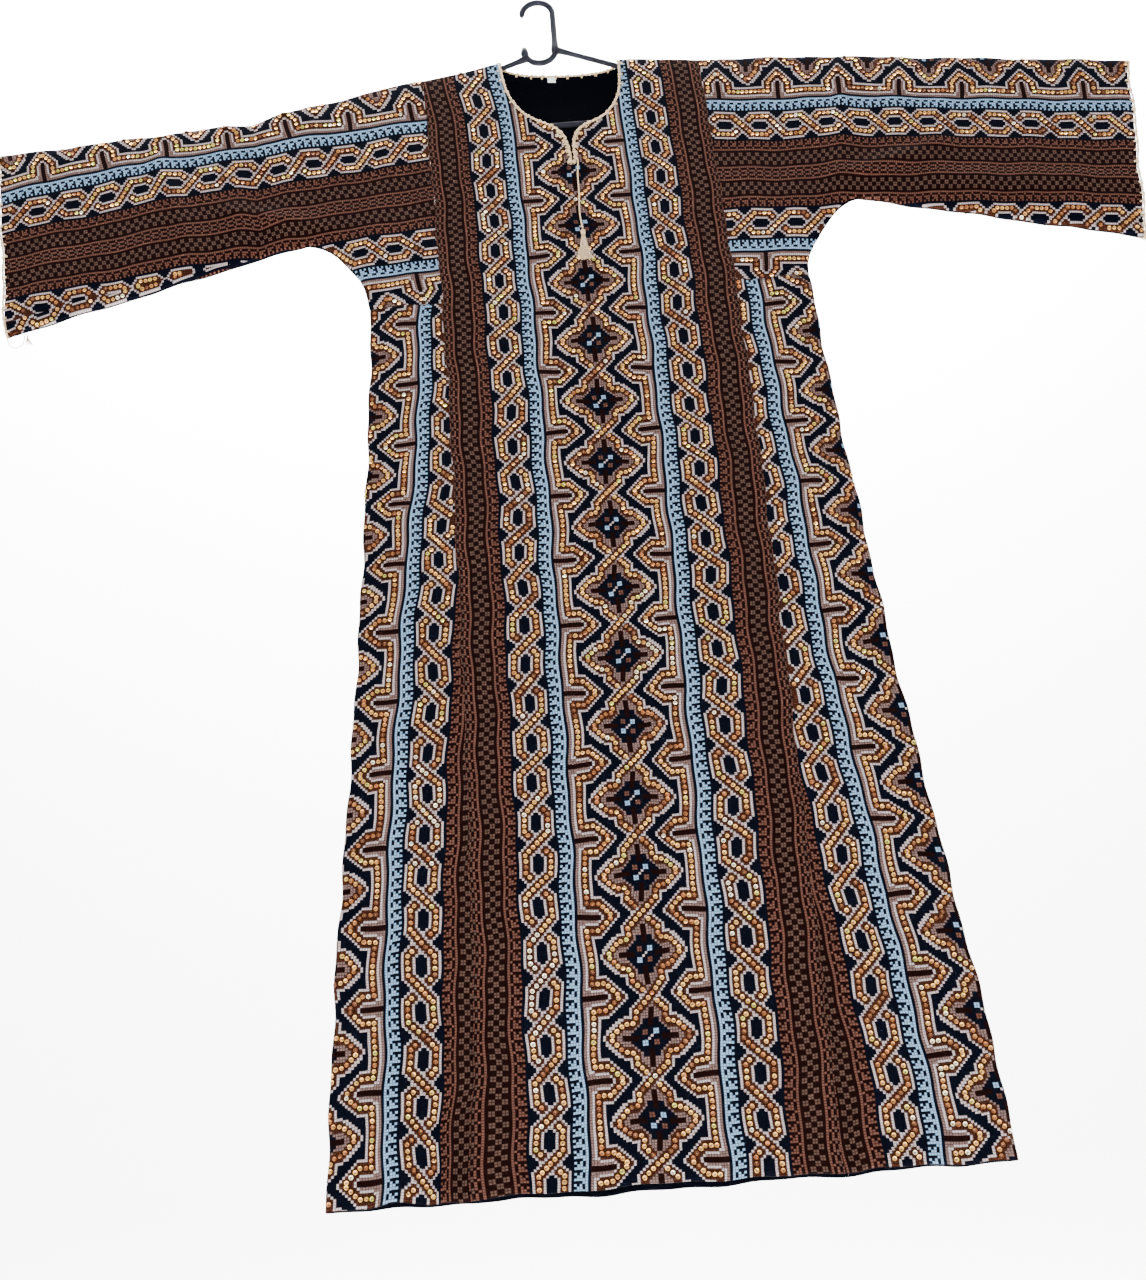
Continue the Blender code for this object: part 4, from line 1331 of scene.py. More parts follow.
class DRESS_OT_sleeves(bpy.types.Operator):
    """Two sleeves, each one length folded along the shoulder and sewn below the arm"""

    bl_idname = "dress.sleeves"
    bl_label = "Sleeves"

    def execute(self, context):
        for name, side in SIDES.items():
            x, z, front = sleeve_grid(side)
            finish = sleeve_embroidery(name, side)
            counts = sleeve_pattern(side, x, z, front)
            height = z - sleeve_bottom(x)
            is_past = front & (height < seam_height(side, x) + 0.0004) & (side["sign"] < 0)
            past_seam = (seam_count(side, x), is_past)
            sleeve = cloth_sheet("embroidered_sleeve_" + name, x, z, front, counts, finish, past_seam)
            stand_for(sleeve, "sleeve_" + name)
        return {"FINISHED"}


def gore_grid(side):
    sign = side["sign"]
    top = GORE_TOP - CLOSED_GAP
    inner = PANEL_HALF + CLOSED_GAP
    down = np.concatenate([[top], -steps_between(-top, -HEM_HEIGHT, GRID)])
    edge = side_half(down, sign)
    near = bend_steps(SIDE_BEND, 5)
    columns = round((0.17 - near[-1]) / GRID)
    steps = [np.full(down.shape, step) for step in near]
    for i in range(1, columns + 1):
        steps.append(near[-1] + (edge - inner - near[-1]) * i / columns)
    x = (edge - np.array(steps)) * sign
    return [grid.T[::sign] for grid in both_faces(x, np.broadcast_to(down, x.shape))]


class DRESS_OT_side_gores(bpy.types.Operator):
    """Two side gores, each one piece folded along the side of the dress"""

    bl_idname = "dress.side_gores"
    bl_label = "Side gores"

    def execute(self, context):
        for name, side in SIDES.items():
            x, z, front = gore_grid(side)
            finish = embroidery(name + " gore embroidery", GORE_FAR_PHASE, side["gore_phase"])
            counts = gore_pattern(side, x, z, front)
            gore = cloth_sheet("embroidered_side_gore_" + name, x, z, front, counts, finish)
            stand_for(gore, "side_gore_" + name)
        return {"FINISHED"}


def points_along(path, spacing):
    """Even places along a line of straight steps."""
    path = np.asarray(path, dtype=float)
    lengths = np.hypot(*np.diff(path, axis=0).T)
    total = lengths.sum()
    count = max(1, round(total / spacing))
    wanted = (np.arange(count) + 0.5) * total / count
    reached = np.concatenate([[0], np.cumsum(lengths)])
    return np.stack([np.interp(wanted, reached, path[:, k]) for k in (0, 1)], axis=-1)


def strand_points():
    """Stitch places of the sequins in one repeat right of the middle line, and in one chain repeat."""
    upper = points_along(MEDALLION_UPPER[:-1] + ((0.0, 15.1),), SEQUIN_SPACING)
    lower = points_along(((0.0, 14.9),) + MEDALLION_LOWER[1:], SEQUIN_SPACING)
    lower = lower[distance_to_path(lower[:, 0], lower[:, 1], MEDALLION_UPPER) > STRAND_HALF + 0.6]
    tooth = points_along(((20.5, 0.0),) + MEANDER[1:-1] + ((20.5, 30.0),), SEQUIN_SPACING)
    main = np.concatenate([upper, lower, tooth])
    over = points_along(CHAIN_OVER, SEQUIN_SPACING)
    under = points_along(CHAIN_UNDER, SEQUIN_SPACING)
    under = under[distance_to_path(under[:, 0], under[:, 1], CHAIN_OVER) > STRAND_HALF + 0.6]
    chain = np.concatenate([over, under])
    return main, chain


def repeated(points, repeat, start, low, high):
    """Places repeated along q between two counts."""
    first = math.floor((low - start) / repeat)
    last = math.ceil((high - start) / repeat)
    shifts = start + repeat * np.arange(first, last)
    copies = points[None, :, :] + np.stack([np.zeros(len(shifts)), shifts], axis=-1)[:, None, :]
    return copies.reshape(-1, 2)


def sequin_counts(low, high, widest, left_phase, right_phase, far_phase=0.0, far_shift=0.0):
    """Stitch places of all sequins between two counts along a piece of cloth."""
    main, chain = strand_points()
    right = repeated(main, REPEAT, 0.0, low, high)
    left = -repeated(main, REPEAT, 0.0, -high, -low)
    groups = [right, left]
    scale = np.array([1.0, CHAIN_REPEAT / CHAIN_ROWS])
    for sign, phase in ((1, right_phase), (-1, left_phase)):
        for middle, own_phase in ((CHAIN_MIDDLE, phase), (2 * MIRROR_LINE - CHAIN_MIDDLE, far_phase)):
            bars = repeated(chain * scale, CHAIN_REPEAT, own_phase, low, high)
            outward = sign if middle == CHAIN_MIDDLE else -sign
            groups.append(np.stack([sign * middle + outward * bars[:, 0], bars[:, 1]], axis=-1))
        far = right if sign > 0 else left
        groups.append(np.stack([sign * 2 * MIRROR_LINE - far[:, 0], far[:, 1] + far_shift], axis=-1))
    counts = np.concatenate(groups)
    return counts[np.abs(counts[:, 0]) < widest]


def model_sequin(radius):
    """Models one sequin lying flat. Returns its vertices, its faces and the part each face belongs to."""
    clear_selection()
    bpy.ops.mesh.primitive_circle_add(vertices=8, radius=radius, fill_type="NGON")
    disc = bpy.context.active_object
    bpy.ops.object.mode_set(mode="EDIT")
    bpy.ops.mesh.select_all(action="SELECT")
    for narrower, rise in ((0.10, 0.0007), (0.42, -0.0004), (0.28, -0.0002)):
        bpy.ops.mesh.inset(thickness=radius * narrower, depth=rise)
    bpy.ops.object.mode_set(mode="OBJECT")
    verts = np.array([tuple(vertex.co) for vertex in disc.data.vertices])
    faces = [tuple(face.vertices) for face in disc.data.polygons]
    parts = []
    for face in disc.data.polygons:
        away = math.hypot(face.center.x, face.center.y) / radius
        parts.append(1.0 if len(face.vertices) == 8 else 0.5 if away < 0.36 else 0.0)
    bpy.data.objects.remove(disc)
    return verts, faces, parts


def sequin_tints(x, z, front, chance):
    """A tint for each sequin: slow changes along the strands, chance, and patches of painted highlight."""
    turn = 2 * math.pi
    slow = np.sin(turn * (9.0 * z + 4.0 * x)) + np.sin(turn * (23.0 * z - 17.0 * x) + 1.0)
    tints = np.clip(0.36 + 0.13 * slow + chance.normal(0, 0.22, len(x)), 0.0, 0.88)
    # Painted highlight: in these patches sequins take the pale glint tint, or lime, in place of their own
    for *patch, share, tint in PAINTED_GLINTS:
        painted_glint_mask = front & (chance.random(len(x)) < share * bell(x, z, *patch))
        tints = np.where(painted_glint_mask, tint, tints)
    # A few sequins at random also take the pale glint tint: painted highlight
    return np.where(chance.random(len(x)) < 0.03, 1.0, tints)


def sequins(name, x, z, front, seed):
    """One mesh of cupped sequins lying on the cloth at flat places."""
    chance = np.random.default_rng(seed)
    places = cloth_places(x, z, front)
    count = len(x)
    normals = unit(cloth_normals(x, z, front) + chance.normal(0, 0.11, (count, 3)))
    upward = np.array([0.0, 0.0, 1.0]) + chance.normal(0, 0.4, (count, 3))
    across = unit(np.cross(upward, normals))
    upward = np.cross(normals, across)
    base = places + normals * (WALL / 2 + 0.0002)
    size = (1 + chance.normal(0, 0.03, count))[:, None, None]
    verts, faces, parts = model_sequin(bpy.context.scene.dress_cloth.sequin_radius)
    copies = base[:, None, :] + across[:, None, :] * verts[None, :, :1] * size
    copies = copies + upward[:, None, :] * verts[None, :, 1:2] * size
    copies = copies + normals[:, None, :] * verts[None, :, 2:]
    stride = len(verts)
    all_faces = []
    for first in range(0, count * stride, stride):
        all_faces += [tuple(corner + first for corner in face) for face in faces]
    obj = add_mesh(name, copies.reshape(-1, 3), all_faces, [sequin_finish()])
    tint = obj.data.attributes.new("tint", "FLOAT", "FACE")
    tint.data.foreach_set("value", np.repeat(sequin_tints(x, z, front, chance), len(faces)))
    hub = obj.data.attributes.new("hub", "FLOAT", "FACE")
    hub.data.foreach_set("value", np.tile(parts, count))
    smooth(obj, 40)
    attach(obj, "root")
    return obj


class DRESS_OT_sequins(bpy.types.Operator):
    """Sequins along the strands of the medallions, meanders and chains"""

    bl_idname = "dress.sequins"
    bl_label = "Sequins"

    def execute(self, context):
        edge = SEQUIN_EDGE
        counts = sequin_counts(*PANEL_REACH, HALF_WIDTH, *PANEL_PHASES)
        x, z, front = panel_place(counts[:, 0], counts[:, 1])
        fall = shoulder_line(x) - z
        inside = (np.abs(x) < PANEL_HALF - edge) & (z > HEM_HEIGHT + edge) & (fall > 0.001)
        in_front = (np.abs(x) < neck_half(fall) + NECK_MARGIN) & (fall < SLIT_END + NECK_MARGIN)
        in_back = (fall < back_neck_drop(x) + NECK_MARGIN) & (np.abs(x) < NECK_HALF + NECK_MARGIN)
        keep = inside & ~np.where(front, in_front, in_back)
        for face, chosen in (("front", keep & front), ("back", keep & ~front)):
            sequins("sequins_centre_" + face, x[chosen], z[chosen], front[chosen], PANEL_SEED)
        for name, side in SIDES.items():
            x, z, front = self.sleeve_places(side)
            sequins("sequins_sleeve_" + name, x, z, front, SLEEVE_SEED)
            counts = sequin_counts(*GORE_REACH, HALF_WIDTH, GORE_FAR_PHASE, side["gore_phase"])
            x, z, front = gore_place(side, counts[:, 0], counts[:, 1])
            keep = (np.abs(x) > PANEL_HALF + edge) & (z < GORE_TOP - edge) & (z > HEM_HEIGHT + edge)
            keep &= np.abs(x) < side_half(z, side["sign"]) - 0.001
            sequins("sequins_gore_" + name, x[keep], z[keep], front[keep], GORE_SEED)
        return {"FINISHED"}

    def sleeve_places(self, side):
        """Places of a sleeve's sequins. Past the seam below the arm the pattern turns back."""
        edge = SEQUIN_EDGE
        upper_phase, far_phase, far_shift = side["sleeve_phases"]
        phases = (upper_phase, upper_phase, far_phase, far_shift)
        counts = sequin_counts(*SLEEVE_REACH, SLEEVE_WIDTH, *phases)
        p, q = counts[:, 0], counts[:, 1]
        x, z, front = sleeve_place(side, p, q)
        off_seam = ~front | (z - sleeve_bottom(x) > seam_height(side, x) + edge / 3)
        places = [(x, z, front, off_seam)]
        if side["sign"] < 0:
            x, z, front = sleeve_place(side, 2 * seam_count(side, x) - p, q)
            past = front & (z - sleeve_bottom(x) < seam_height(side, x) - edge / 3)
            places.append((x, z, front, past))
        x, z, front, keep = (np.concatenate(parts) for parts in zip(*places))
        fall = shoulder_line(x) - z
        keep &= (np.abs(x) > PANEL_HALF + edge) & (np.abs(x) < self.cuff_limit(side, z) - edge)
        keep &= (np.sign(x) == side["sign"]) & (fall > 0.001) & (z - sleeve_bottom(x) > 0.0022)
        return x[keep], z[keep], front[keep]

    def cuff_limit(self, side, z):
        top_x, top_z = side["top"][-1]
        bottom_x, bottom_z = side["cuff_bottom"]
        return top_x + (bottom_x - top_x) * (z - top_z) / (bottom_z - top_z)


def inset(points, distance):
    """A flat line moved to the left of its own direction, or to the right if the distance is negative."""
    steps = unit(np.diff(points, axis=0))
    arriving = np.concatenate([steps[:1], steps])
    leaving = np.concatenate([steps, steps[-1:]])
    along = unit(arriving + leaving)
    mitre = distance / np.maximum(np.sum(along * leaving, axis=1), 0.6)
    return points + np.stack([-along[:, 1], along[:, 0]], axis=-1) * mitre[:, None]


def neck_edging_line():
    """Places of the neck's edging once round the opening, each with the direction into the cloth."""
    corner = NECK_HALF - EDGING_SEAT
    drops = [SHOULDER_BEND * (1 - math.cos(math.radians(angle))) for angle in (90, 60, 30)]
    rows = []
    for sign, face, other, outline in (
        (1, "front", "back", front_neck_outline()),
        (-1, "back", "front", back_neck_outline()),
    ):
        moved = inset(outline, sign * EDGING_SEAT)
        for (x, z), (into_x, into_z) in zip(moved, outline - moved):
            if shoulder_line(x) - z > SHOULDER_BEND * 1.6:
                rows.append((*cloth_point(x, z, face), into_x, 0.0, into_z))
        top = shoulder_at(sign * corner)
        over = [(drop, face) for drop in (*drops, 0.0)] + [(drop, other) for drop in reversed(drops)]
        for drop, which in over:
            rows.append((*cloth_point(sign * corner, top - drop, which), sign * EDGING_SEAT, 0.0, 0.0))
    return np.array(rows)


def cuff_edging_line(side):
    """Places of a cuff's edging, down the front and up the back, each with the direction into the cloth."""
    sign = side["sign"]
    top_x = side["top"][-1][0] + EDGING_SEAT
    bottom_x = side["cuff_bottom"][0] + EDGING_SEAT
    top_z = shoulder_at(sign * top_x)
    length = top_z - float(sleeve_bottom(np.array(sign * bottom_x)))
    middle = np.linspace(0.012, length - 0.010, 40)
    falls = np.concatenate([bend_steps(SHOULDER_BEND), middle, length - bend_steps(SIDE_BEND)[::-1]])
    lines = []
    for face in ("front", "back"):
        x = sign * (top_x + (bottom_x - top_x) * falls / length)
        places = cloth_places(x, top_z - falls, np.full(falls.shape, face == "front"))
        into = np.tile([-float(sign), 0.0, 0.0], (len(falls), 1))
        lines.append(np.hstack([places, into]))
    return np.concatenate([lines[0], lines[1][::-1][1:-1]])


def overcast(middle, into, out, along, radius, reach, slant, strand):
    """One stitch: out of the cloth, over the edging and back into the cloth on the other face."""
    turn = radius + strand * 0.8
    profile = [(reach, 0.0003), (reach * 0.8, 0.0013), (radius + 0.0010, 0.0016)]
    for angle in (70, 110, 150, 190, 230, 275):
        profile.append((turn * math.cos(math.radians(angle)), turn * math.sin(math.radians(angle))))
    profile += [(radius + 0.0010, -0.0016), (reach * 0.8, -0.0013), (reach, -0.0003)]
    points = []
    for k, (inward, outward) in enumerate(profile):
        part = k / (len(profile) - 1) - 0.5
        points.append(middle + into * inward + out * outward + along * slant * part)
    return (points, strand, 5, False, 0.0)


def edging_lines(rows, radius, spacing, reach, seed):
    """Threads of an edging: a twisted cord all round with stitches over it. Also returns its frame."""
    chance = np.random.default_rng(seed)
    step = 0.001
    even = evenly(rows, step, closed=True)
    middle, into = even[:, :3], unit(even[:, 3:])
    along = unit(np.roll(middle, -1, axis=0) - np.roll(middle, 1, axis=0))
    out = unit(np.cross(into, along))
    if out[0][1] > 0:
        out = -out
    count = len(middle)
    sway = np.sin(np.arange(count) * 0.37) + np.sin(np.arange(count) * 0.153 + 1.0)
    cord = middle + into * (sway * 0.00022)[:, None]
    thickness = radius * (1 + 0.07 * np.sin(np.arange(count) * 0.71))
    lines = [(cord, thickness, 8, True, 0.26)]
    stitches = max(1, round(count * step / spacing))
    for n in range(stitches):
        i = int((n + 0.5 + chance.uniform(-0.15, 0.15)) * count / stitches) % count
        for shift in (-0.0007, 0.0007):
            slant = chance.uniform(0.0005, 0.0028)
            start = middle[i] + along[i] * shift
            behind = out[i][1] > 0.7 and into[i][2] < -0.7
            deep = reach * chance.uniform(0.8, 1.15)
            strand = chance.uniform(0.00045, 0.0006) * (1.5 if behind else 1.0)
            lines.append(overcast(start, into[i], out[i], along[i], radius, deep, slant, strand))
    return lines, (middle, into, out, along)


def whipping(middle, into, out, pitch, phase, strand):
    """A thick thread wound along the edging and the cut edge of the slit."""
    count = len(middle)
    turn = 2 * math.pi * np.arange(count) * 0.001 / pitch + phase
    uneven = 1 + 0.4 * np.sin(np.arange(count) * 0.29 + phase)
    across = (0.0012 + 0.0026 * np.cos(turn)) * uneven
    height = 0.0004 + 0.0019 * np.sin(turn) * uneven
    points = middle + into * across[:, None] + out * height[:, None]
    return (points, strand * (1 + 0.2 * np.sin(np.arange(count) * 0.53)), 6, False, 0.0)


class DRESS_OT_neck_edging(bpy.types.Operator):
    """Twisted cream edging round the neck, with stitches over it and both sides of the slit wound"""

    bl_idname = "dress.neck_edging"
    bl_label = "Neck edging"

    def execute(self, context):
        look = context.scene.dress_trim
        lines, (middle, into, out, along) = edging_lines(
            neck_edging_line(), look.edging_radius, look.neck_stitch_spacing, 0.0048, NECK_SEED
        )
        deep = np.flatnonzero(middle[:, 2] < SLIT_TOP)
        breaks = np.flatnonzero(np.diff(into[deep][:, 0] > 0)) + 1
        for stretch in (part for part in np.split(deep, breaks) if len(part) > 8):
            thick = 1.3 if into[stretch[0]][0] < 0 else 1.0
            rows = (middle[stretch], into[stretch], out[stretch])
            for pitch, phase, strand in ((0.0062, 0.0, 0.00066), (0.0083, 2.1, 0.0006)):
                lines.append(whipping(*rows, pitch, phase, strand * thick))
        edging = threads("neck_edging_thread", lines, cream_thread())
        stand_for(edging, "neck_edging")
        return {"FINISHED"}


class DRESS_OT_cuff_edgings(bpy.types.Operator):
    """Thin cream edging round both cuffs, with loose thread ends at their lower corners"""

    bl_idname = "dress.cuff_edgings"
    bl_label = "Cuff edgings"

    def execute(self, context):
        look = context.scene.dress_trim
        for name, side in SIDES.items():
            rows = cuff_edging_line(side)
            radius, spacing = look.edging_radius * 0.8, look.cuff_stitch_spacing
            lines, _ = edging_lines(rows, radius, spacing, 0.0046, CUFF_SEED)
            corner = Vector(rows[np.argmin(rows[:, 2]), :3])
            lines += self.loose_ends(name, corner)
            edging = threads("cuff_edging_thread_" + name, lines, cream_thread())
            stand_for(edging, "cuff_edging_" + name)
        return {"FINISHED"}

    def loose_ends(self, name, corner):
        """A thread loop and a frayed end at the left cuff, a short tuft at the right one."""
        ends = []
        if name == "left":
            loop = ((0, 0), (1.5, -6), (5, -13.5), (12, -17), (18, -14.5), (21, -9), (21.5, 2))
            ends.append(self.thread(corner, loop, 0.0006))
            for k in range(6):
                strand = ((24, 3), (24.5 + k * 0.4, -5), (23 + k * 1.9, -13 - k % 3))
                ends.append(self.thread(corner, strand, 0.0004))
        else:
            for k in range(5):
                strand = ((-1, 0), (0.5 + k * 0.5, -3), (-1 + k * 1.3, -6 + k % 2))
                ends.append(self.thread(corner, strand, 0.0005))
        return ends

    def thread(self, corner, steps, radius):
        """A thread through points given in millimetres from the cuff's corner."""
        rows = [(corner.x + x / 1000, corner.y - 0.001, corner.z + z / 1000) for x, z in steps]
        return (smooth_route(rows, 0.0012), radius, 5, False, 0.0)


class DRESS_OT_label(bpy.types.Operator):
    """Small blank tape label, folded double and sewn inside the back neck"""

    bl_idname = "dress.label"
    bl_label = "Neck label"

    def execute(self, context):
        layer, half = 0.00035, LABEL_WIDTH / 2
        drop = LABEL_DROP - layer
        profile = [(0.0, -layer), (drop * 0.5, -layer), (drop, -layer), (LABEL_DROP, 0.0)]
        profile += [(drop, layer), (drop * 0.5, layer), (0.0, layer)]
        across = (-half, -half / 3, half / 3, half)
        places = []
        for fall, outward in profile:
            for step in across:
                x = LABEL_MIDDLE + step
                z = float(shoulder_line(np.array(x)) - back_neck_drop(x)) - 0.0006 - fall
                point = cloth_point(x, z, "back")
                places.append((point.x, point.y - WALL / 2 - SEAM_GAP - 2 * layer + outward, point.z))
        width = len(across)
        faces = []
        for i in range(len(profile) - 1):
            for j in range(width - 1):
                first = i * width + j
                faces.append((first, first + width, first + width + 1, first + 1))
        label = add_mesh("folded_label", places, faces, [label_tape()])
        apply_modifier(label, "SOLIDIFY", thickness=0.0004, offset=0.0)
        turn_outward(label)
        smooth(label, 60)
        stand_for(label, "neck_label")
        return {"FINISHED"}


def smooth_route(points, spacing):
    """Points along a smooth curve through the route's own points."""
    points = np.asarray(points, dtype=float)
    curve = []
    for i in range(len(points) - 1):
        before = points[max(i - 1, 0)]
        start, end = points[i], points[i + 1]
        after = points[min(i + 2, len(points) - 1)]
        steps = max(2, round(np.linalg.norm(end - start) / spacing))
        for t in np.arange(steps) / steps:
            bend = (2 * before - 5 * start + 4 * end - after) * t * t
            twist = (3 * start - before - 3 * end + after) * t**3
            curve.append(0.5 * (2 * start + (end - before) * t + bend + twist))
    curve.append(points[-1])
    return np.array(curve)


def tassel_top():
    """Top of the tassel's head, clear of the panel."""
    point = cloth_point(0.0002, -0.3775, "front")
    point.y -= WALL / 2 + SEAM_GAP + TASSEL_HEAD_RADIUS + 0.0008
    return point


def tie_route():
    """The cord's own points: off the edging, then plumb down in front of the panel."""
    fall = SLIT_END * 0.95
    x = float(neck_half(fall)) - EDGING_SEAT
    route = [cloth_point(x, shoulder_at(x) - fall, "front")]
    route[0].y -= EDGING_RADIUS + SEAM_GAP + CORD_RADIUS
    clear = WALL / 2 + SEAM_GAP + CORD_RADIUS + 0.0004
    for x, z in ((0.0062, -0.268), (0.0048, -0.290), (0.0030, -0.320), (0.0012, -0.350), (0.0004, -0.376)):
        point = cloth_point(x, z, "front")
        point.y -= clear
        route.append(point)
    route[-1].y = tassel_top().y
    route[-2].y = (route[-3].y + route[-1].y) / 2
    return route


class DRESS_OT_tie(bpy.types.Operator):
    """Tie cord at the slit and its tassel of loose thread"""

    bl_idname = "dress.tie"
    bl_label = "Tie and tassel"

    def execute(self, context):
        look = context.scene.dress_trim
        path = evenly(smooth_route(tie_route(), 0.002), 0.001)
        cord = threads("tie_thread", [(path, CORD_RADIUS, 8, False, 0.12)], cream_thread())
        stand_for(cord, "tie_cord")
        tassel = threads("tassel_threads", self.tassel_lines(look.tassel_length), cream_thread())
        stand_for(tassel, "tassel")
        return {"FINISHED"}

    def tassel_lines(self, length):
        """A wound head, then wavy threads that fan out, some of them turned up at the end."""
        top = np.array(tassel_top()) - np.array([0.0, 0.0, SEAM_GAP])
        head = np.array([(0.0, 0.0, -part * TASSEL_HEAD_LENGTH) for part in (0.0, 0.15, 0.5, 0.8, 1.0)])
        widths = TASSEL_HEAD_RADIUS * np.array([0.35, 0.75, 0.80, 0.72, 0.60])
        lines = [(top + head, widths, 10, False, 0.0)]
        turns = np.linspace(0, 6 * 2 * math.pi, 90)
        drop = TASSEL_HEAD_LENGTH * (0.12 + 0.80 * turns / turns[-1])
        around = TASSEL_HEAD_RADIUS * 0.84
        wound = np.stack([around * np.cos(turns), around * np.sin(turns), -drop], axis=-1)
        lines.append((top + wound, 0.0005, 5, False, 0.0))
        chance = np.random.default_rng(TASSEL_SEED)
        count, golden_angle = 48, 2.39996
        for n in range(count):
            reach = math.sqrt((n + 0.5) / count)
            angle = n * golden_angle
            across, outward = reach * math.cos(angle), reach * math.sin(angle)
            full = length * chance.uniform(0.84, 1.0)
            part = np.linspace(0, 1, 12)
            wave = 0.0011 * np.sin(part * chance.uniform(7, 16) + chance.uniform(0, 6)) * part
            x = across * (0.0016 + 0.0078 * part**1.35) + wave
            y = outward * (0.0016 + 0.0012 * part) - 0.0008 * part + wave * 0.5
            z = -(TASSEL_HEAD_LENGTH * 0.8 * (1 - part) + part * full)
            points = np.stack([x, y, z], axis=-1)
            if n % 3 == 0:
                curl = 0.0011 + 0.0006 * chance.random()
                bend = np.radians([30, 70, 110, 150, 190])
                side = 1 if across > 0 else -1
                hook = np.stack(
                    [side * curl * (1 - np.cos(bend)), np.zeros(5), -curl * np.sin(bend)], axis=-1
                )
                points = np.concatenate([points, points[-1] + hook])
            lines.append((top + points, chance.uniform(0.00034, 0.00046), 4, False, 0.0))
        return lines


def arc(centre, radius, start, end, steps):
    """Points of an arc in the hanger's plane, angles in degrees from +X towards +Z."""
    turns = np.radians(np.linspace(start, end, steps + 1))
    flat = np.zeros(turns.shape)
    return np.stack([centre[0] + radius * np.cos(turns), flat, centre[1] + radius * np.sin(turns)], axis=-1)


def arm_slope(name):
    """Fall of one arm for each metre, so that it carries the neck edging at the shoulder."""
    corner = SIDES[name]["sign"] * (NECK_HALF - EDGING_SEAT)
    seat_z = shoulder_at(corner) - EDGING_SEAT
    seat_x = abs(float(middle_line(np.array(seat_z))) + corner)
    start_x, start_z = ARM_STARTS[name]
    slope = 0.4
    for _ in range(8):
        bar_z = seat_z - TUBE_RADIUS * math.hypot(1, slope)
        slope = (start_z - bar_z) / (seat_x - start_x)
    return slope


def hanger_half(name):
    """Middle line of one arm, its rounded end and its half of the lower bar."""
    start_x, start_z = ARM_STARTS[name]
    slope = arm_slope(name)
    lean = math.atan(slope)
    root = np.array([start_x - ARM_ROOT, 0.0, start_z + ARM_ROOT * slope])
    straight = np.array([ARM_STRAIGHT, 0.0, start_z - (ARM_STRAIGHT - start_x) * slope])
    turn_x = straight[0] - END_RADIUS * math.sin(lean)
    turn_z = straight[2] - END_RADIUS * math.cos(lean)
    turn = arc((turn_x, turn_z), END_RADIUS, 90 - math.degrees(lean), -60, 10)
    arm = [root + (straight - root) * part for part in (0.0, 0.03, 0.07, 0.12, 0.3, 0.6, 0.9)]
    bar = [(x, 0.0, BAR_HEIGHT) for x in (turn_x - BAR_INSET, turn_x * 0.5)]
    return np.concatenate([arm, turn, bar]) * np.array([SIDES[name]["sign"], 1.0, 1.0])


def model_bar(name, points, widths, radius):
    """A round bar: a circle drawn out along points in the hanger's plane, turned and sized at each."""
    points = np.asarray(points)
    steps = np.diff(points, axis=0)
    angles = np.unwrap(np.arctan2(steps[:, 2], steps[:, 0]))
    joints = np.concatenate([angles[:1], (angles[1:] + angles[:-1]) / 2, angles[-1:]])
    clear_selection()
    facing = Vector(steps[0]).to_track_quat("Z", "Y").to_euler()
    start = radius * widths[0]
    bpy.ops.mesh.primitive_circle_add(
        vertices=16, radius=start, fill_type="NGON", location=points[0], rotation=facing
    )
    bar = bpy.context.active_object
    bar.name = name
    bpy.ops.object.transform_apply(location=True, rotation=True, scale=True)
    bpy.ops.object.mode_set(mode="EDIT")
    bpy.ops.mesh.select_all(action="SELECT")
    for k in range(len(steps)):
        place = tuple(points[k + 1])
        bpy.ops.mesh.extrude_region_move(TRANSFORM_OT_translate={"value": tuple(steps[k])})
        turn = float(joints[k + 1] - joints[k])
        bpy.ops.transform.rotate(value=turn, orient_axis="Y", orient_type="GLOBAL", center_override=place)
        grow = widths[k + 1] / widths[k]
        bpy.ops.transform.resize(value=(grow, grow, grow), center_override=place)
    bpy.ops.object.mode_set(mode="OBJECT")
    return bar


class DRESS_OT_hanger(bpy.types.Operator):
    """One-piece plastic hanger: hook, stem, loop with its finger, two arms and the lower bar"""

    bl_idname = "dress.hanger"
    bl_label = "Hanger"

    def execute(self, context):
        radius = context.scene.dress_trim.bar_radius
        thick = context.scene.dress_trim.hook_radius
        hook = arc((0.0, thick - HOOK_RADIUS), HOOK_RADIUS, 187, 0, 24)
        stem = [(HOOK_RADIUS, 0.0, z) for z in (-0.040, -0.058, -0.068, -0.074)]
        loop = arc((0.0, STEM_END), HOOK_RADIUS, 0, -180, 24)
        finger = [(-HOOK_RADIUS, 0.0, STEM_END + (NUB_TOP - STEM_END) * part) for part in (0.5, 0.85, 1.0)]
        points = np.concatenate([hook, stem, loop, finger])
        widths = np.ones(len(points))
        widths[:3] = (0.55, 0.86, 0.97)
        widths[26:32] = (1.0, 1.12, 1.30, 1.42, 1.35, 1.18)
        widths[-9:] = (1.0, 1.06, 1.16, 1.28, 1.36, 1.30, 1.10, 0.85, 0.45)
        upper = model_bar("moulded_hanger", points, widths, thick)
        right, left = hanger_half("right"), hanger_half("left")
        frame_line = np.concatenate([right, [(0.0, 0.0, BAR_HEIGHT)], left[::-1]])
        widths = np.ones(len(frame_line))
        widths[:4] = (1.45, 1.3, 1.12, 1.0)
        widths[-4:] = widths[3::-1]
        lower = model_bar("hanger frame", frame_line, widths, radius)
        self.groove(lower)
        hanger = join_pieces([upper, lower], "moulded_hanger")
        hanger.data.materials.append(black_plastic())
        turn_outward(hanger)
        smooth(hanger, 40)
        stand_for(hanger, "hanger")
        return {"FINISHED"}

    def groove(self, bar):
        """Sinks a shallow groove along the front and the back of a bar."""
        for direction in (-1, 1):
            for face in bar.data.polygons:
                face.select = face.normal.y * direction > 0.96 and len(face.vertices) == 4
            bpy.ops.object.mode_set(mode="EDIT")
            bpy.ops.mesh.select_mode(type="FACE")
            bpy.ops.mesh.inset(thickness=0.0003, depth=-0.0005)
            bpy.ops.object.mode_set(mode="OBJECT")


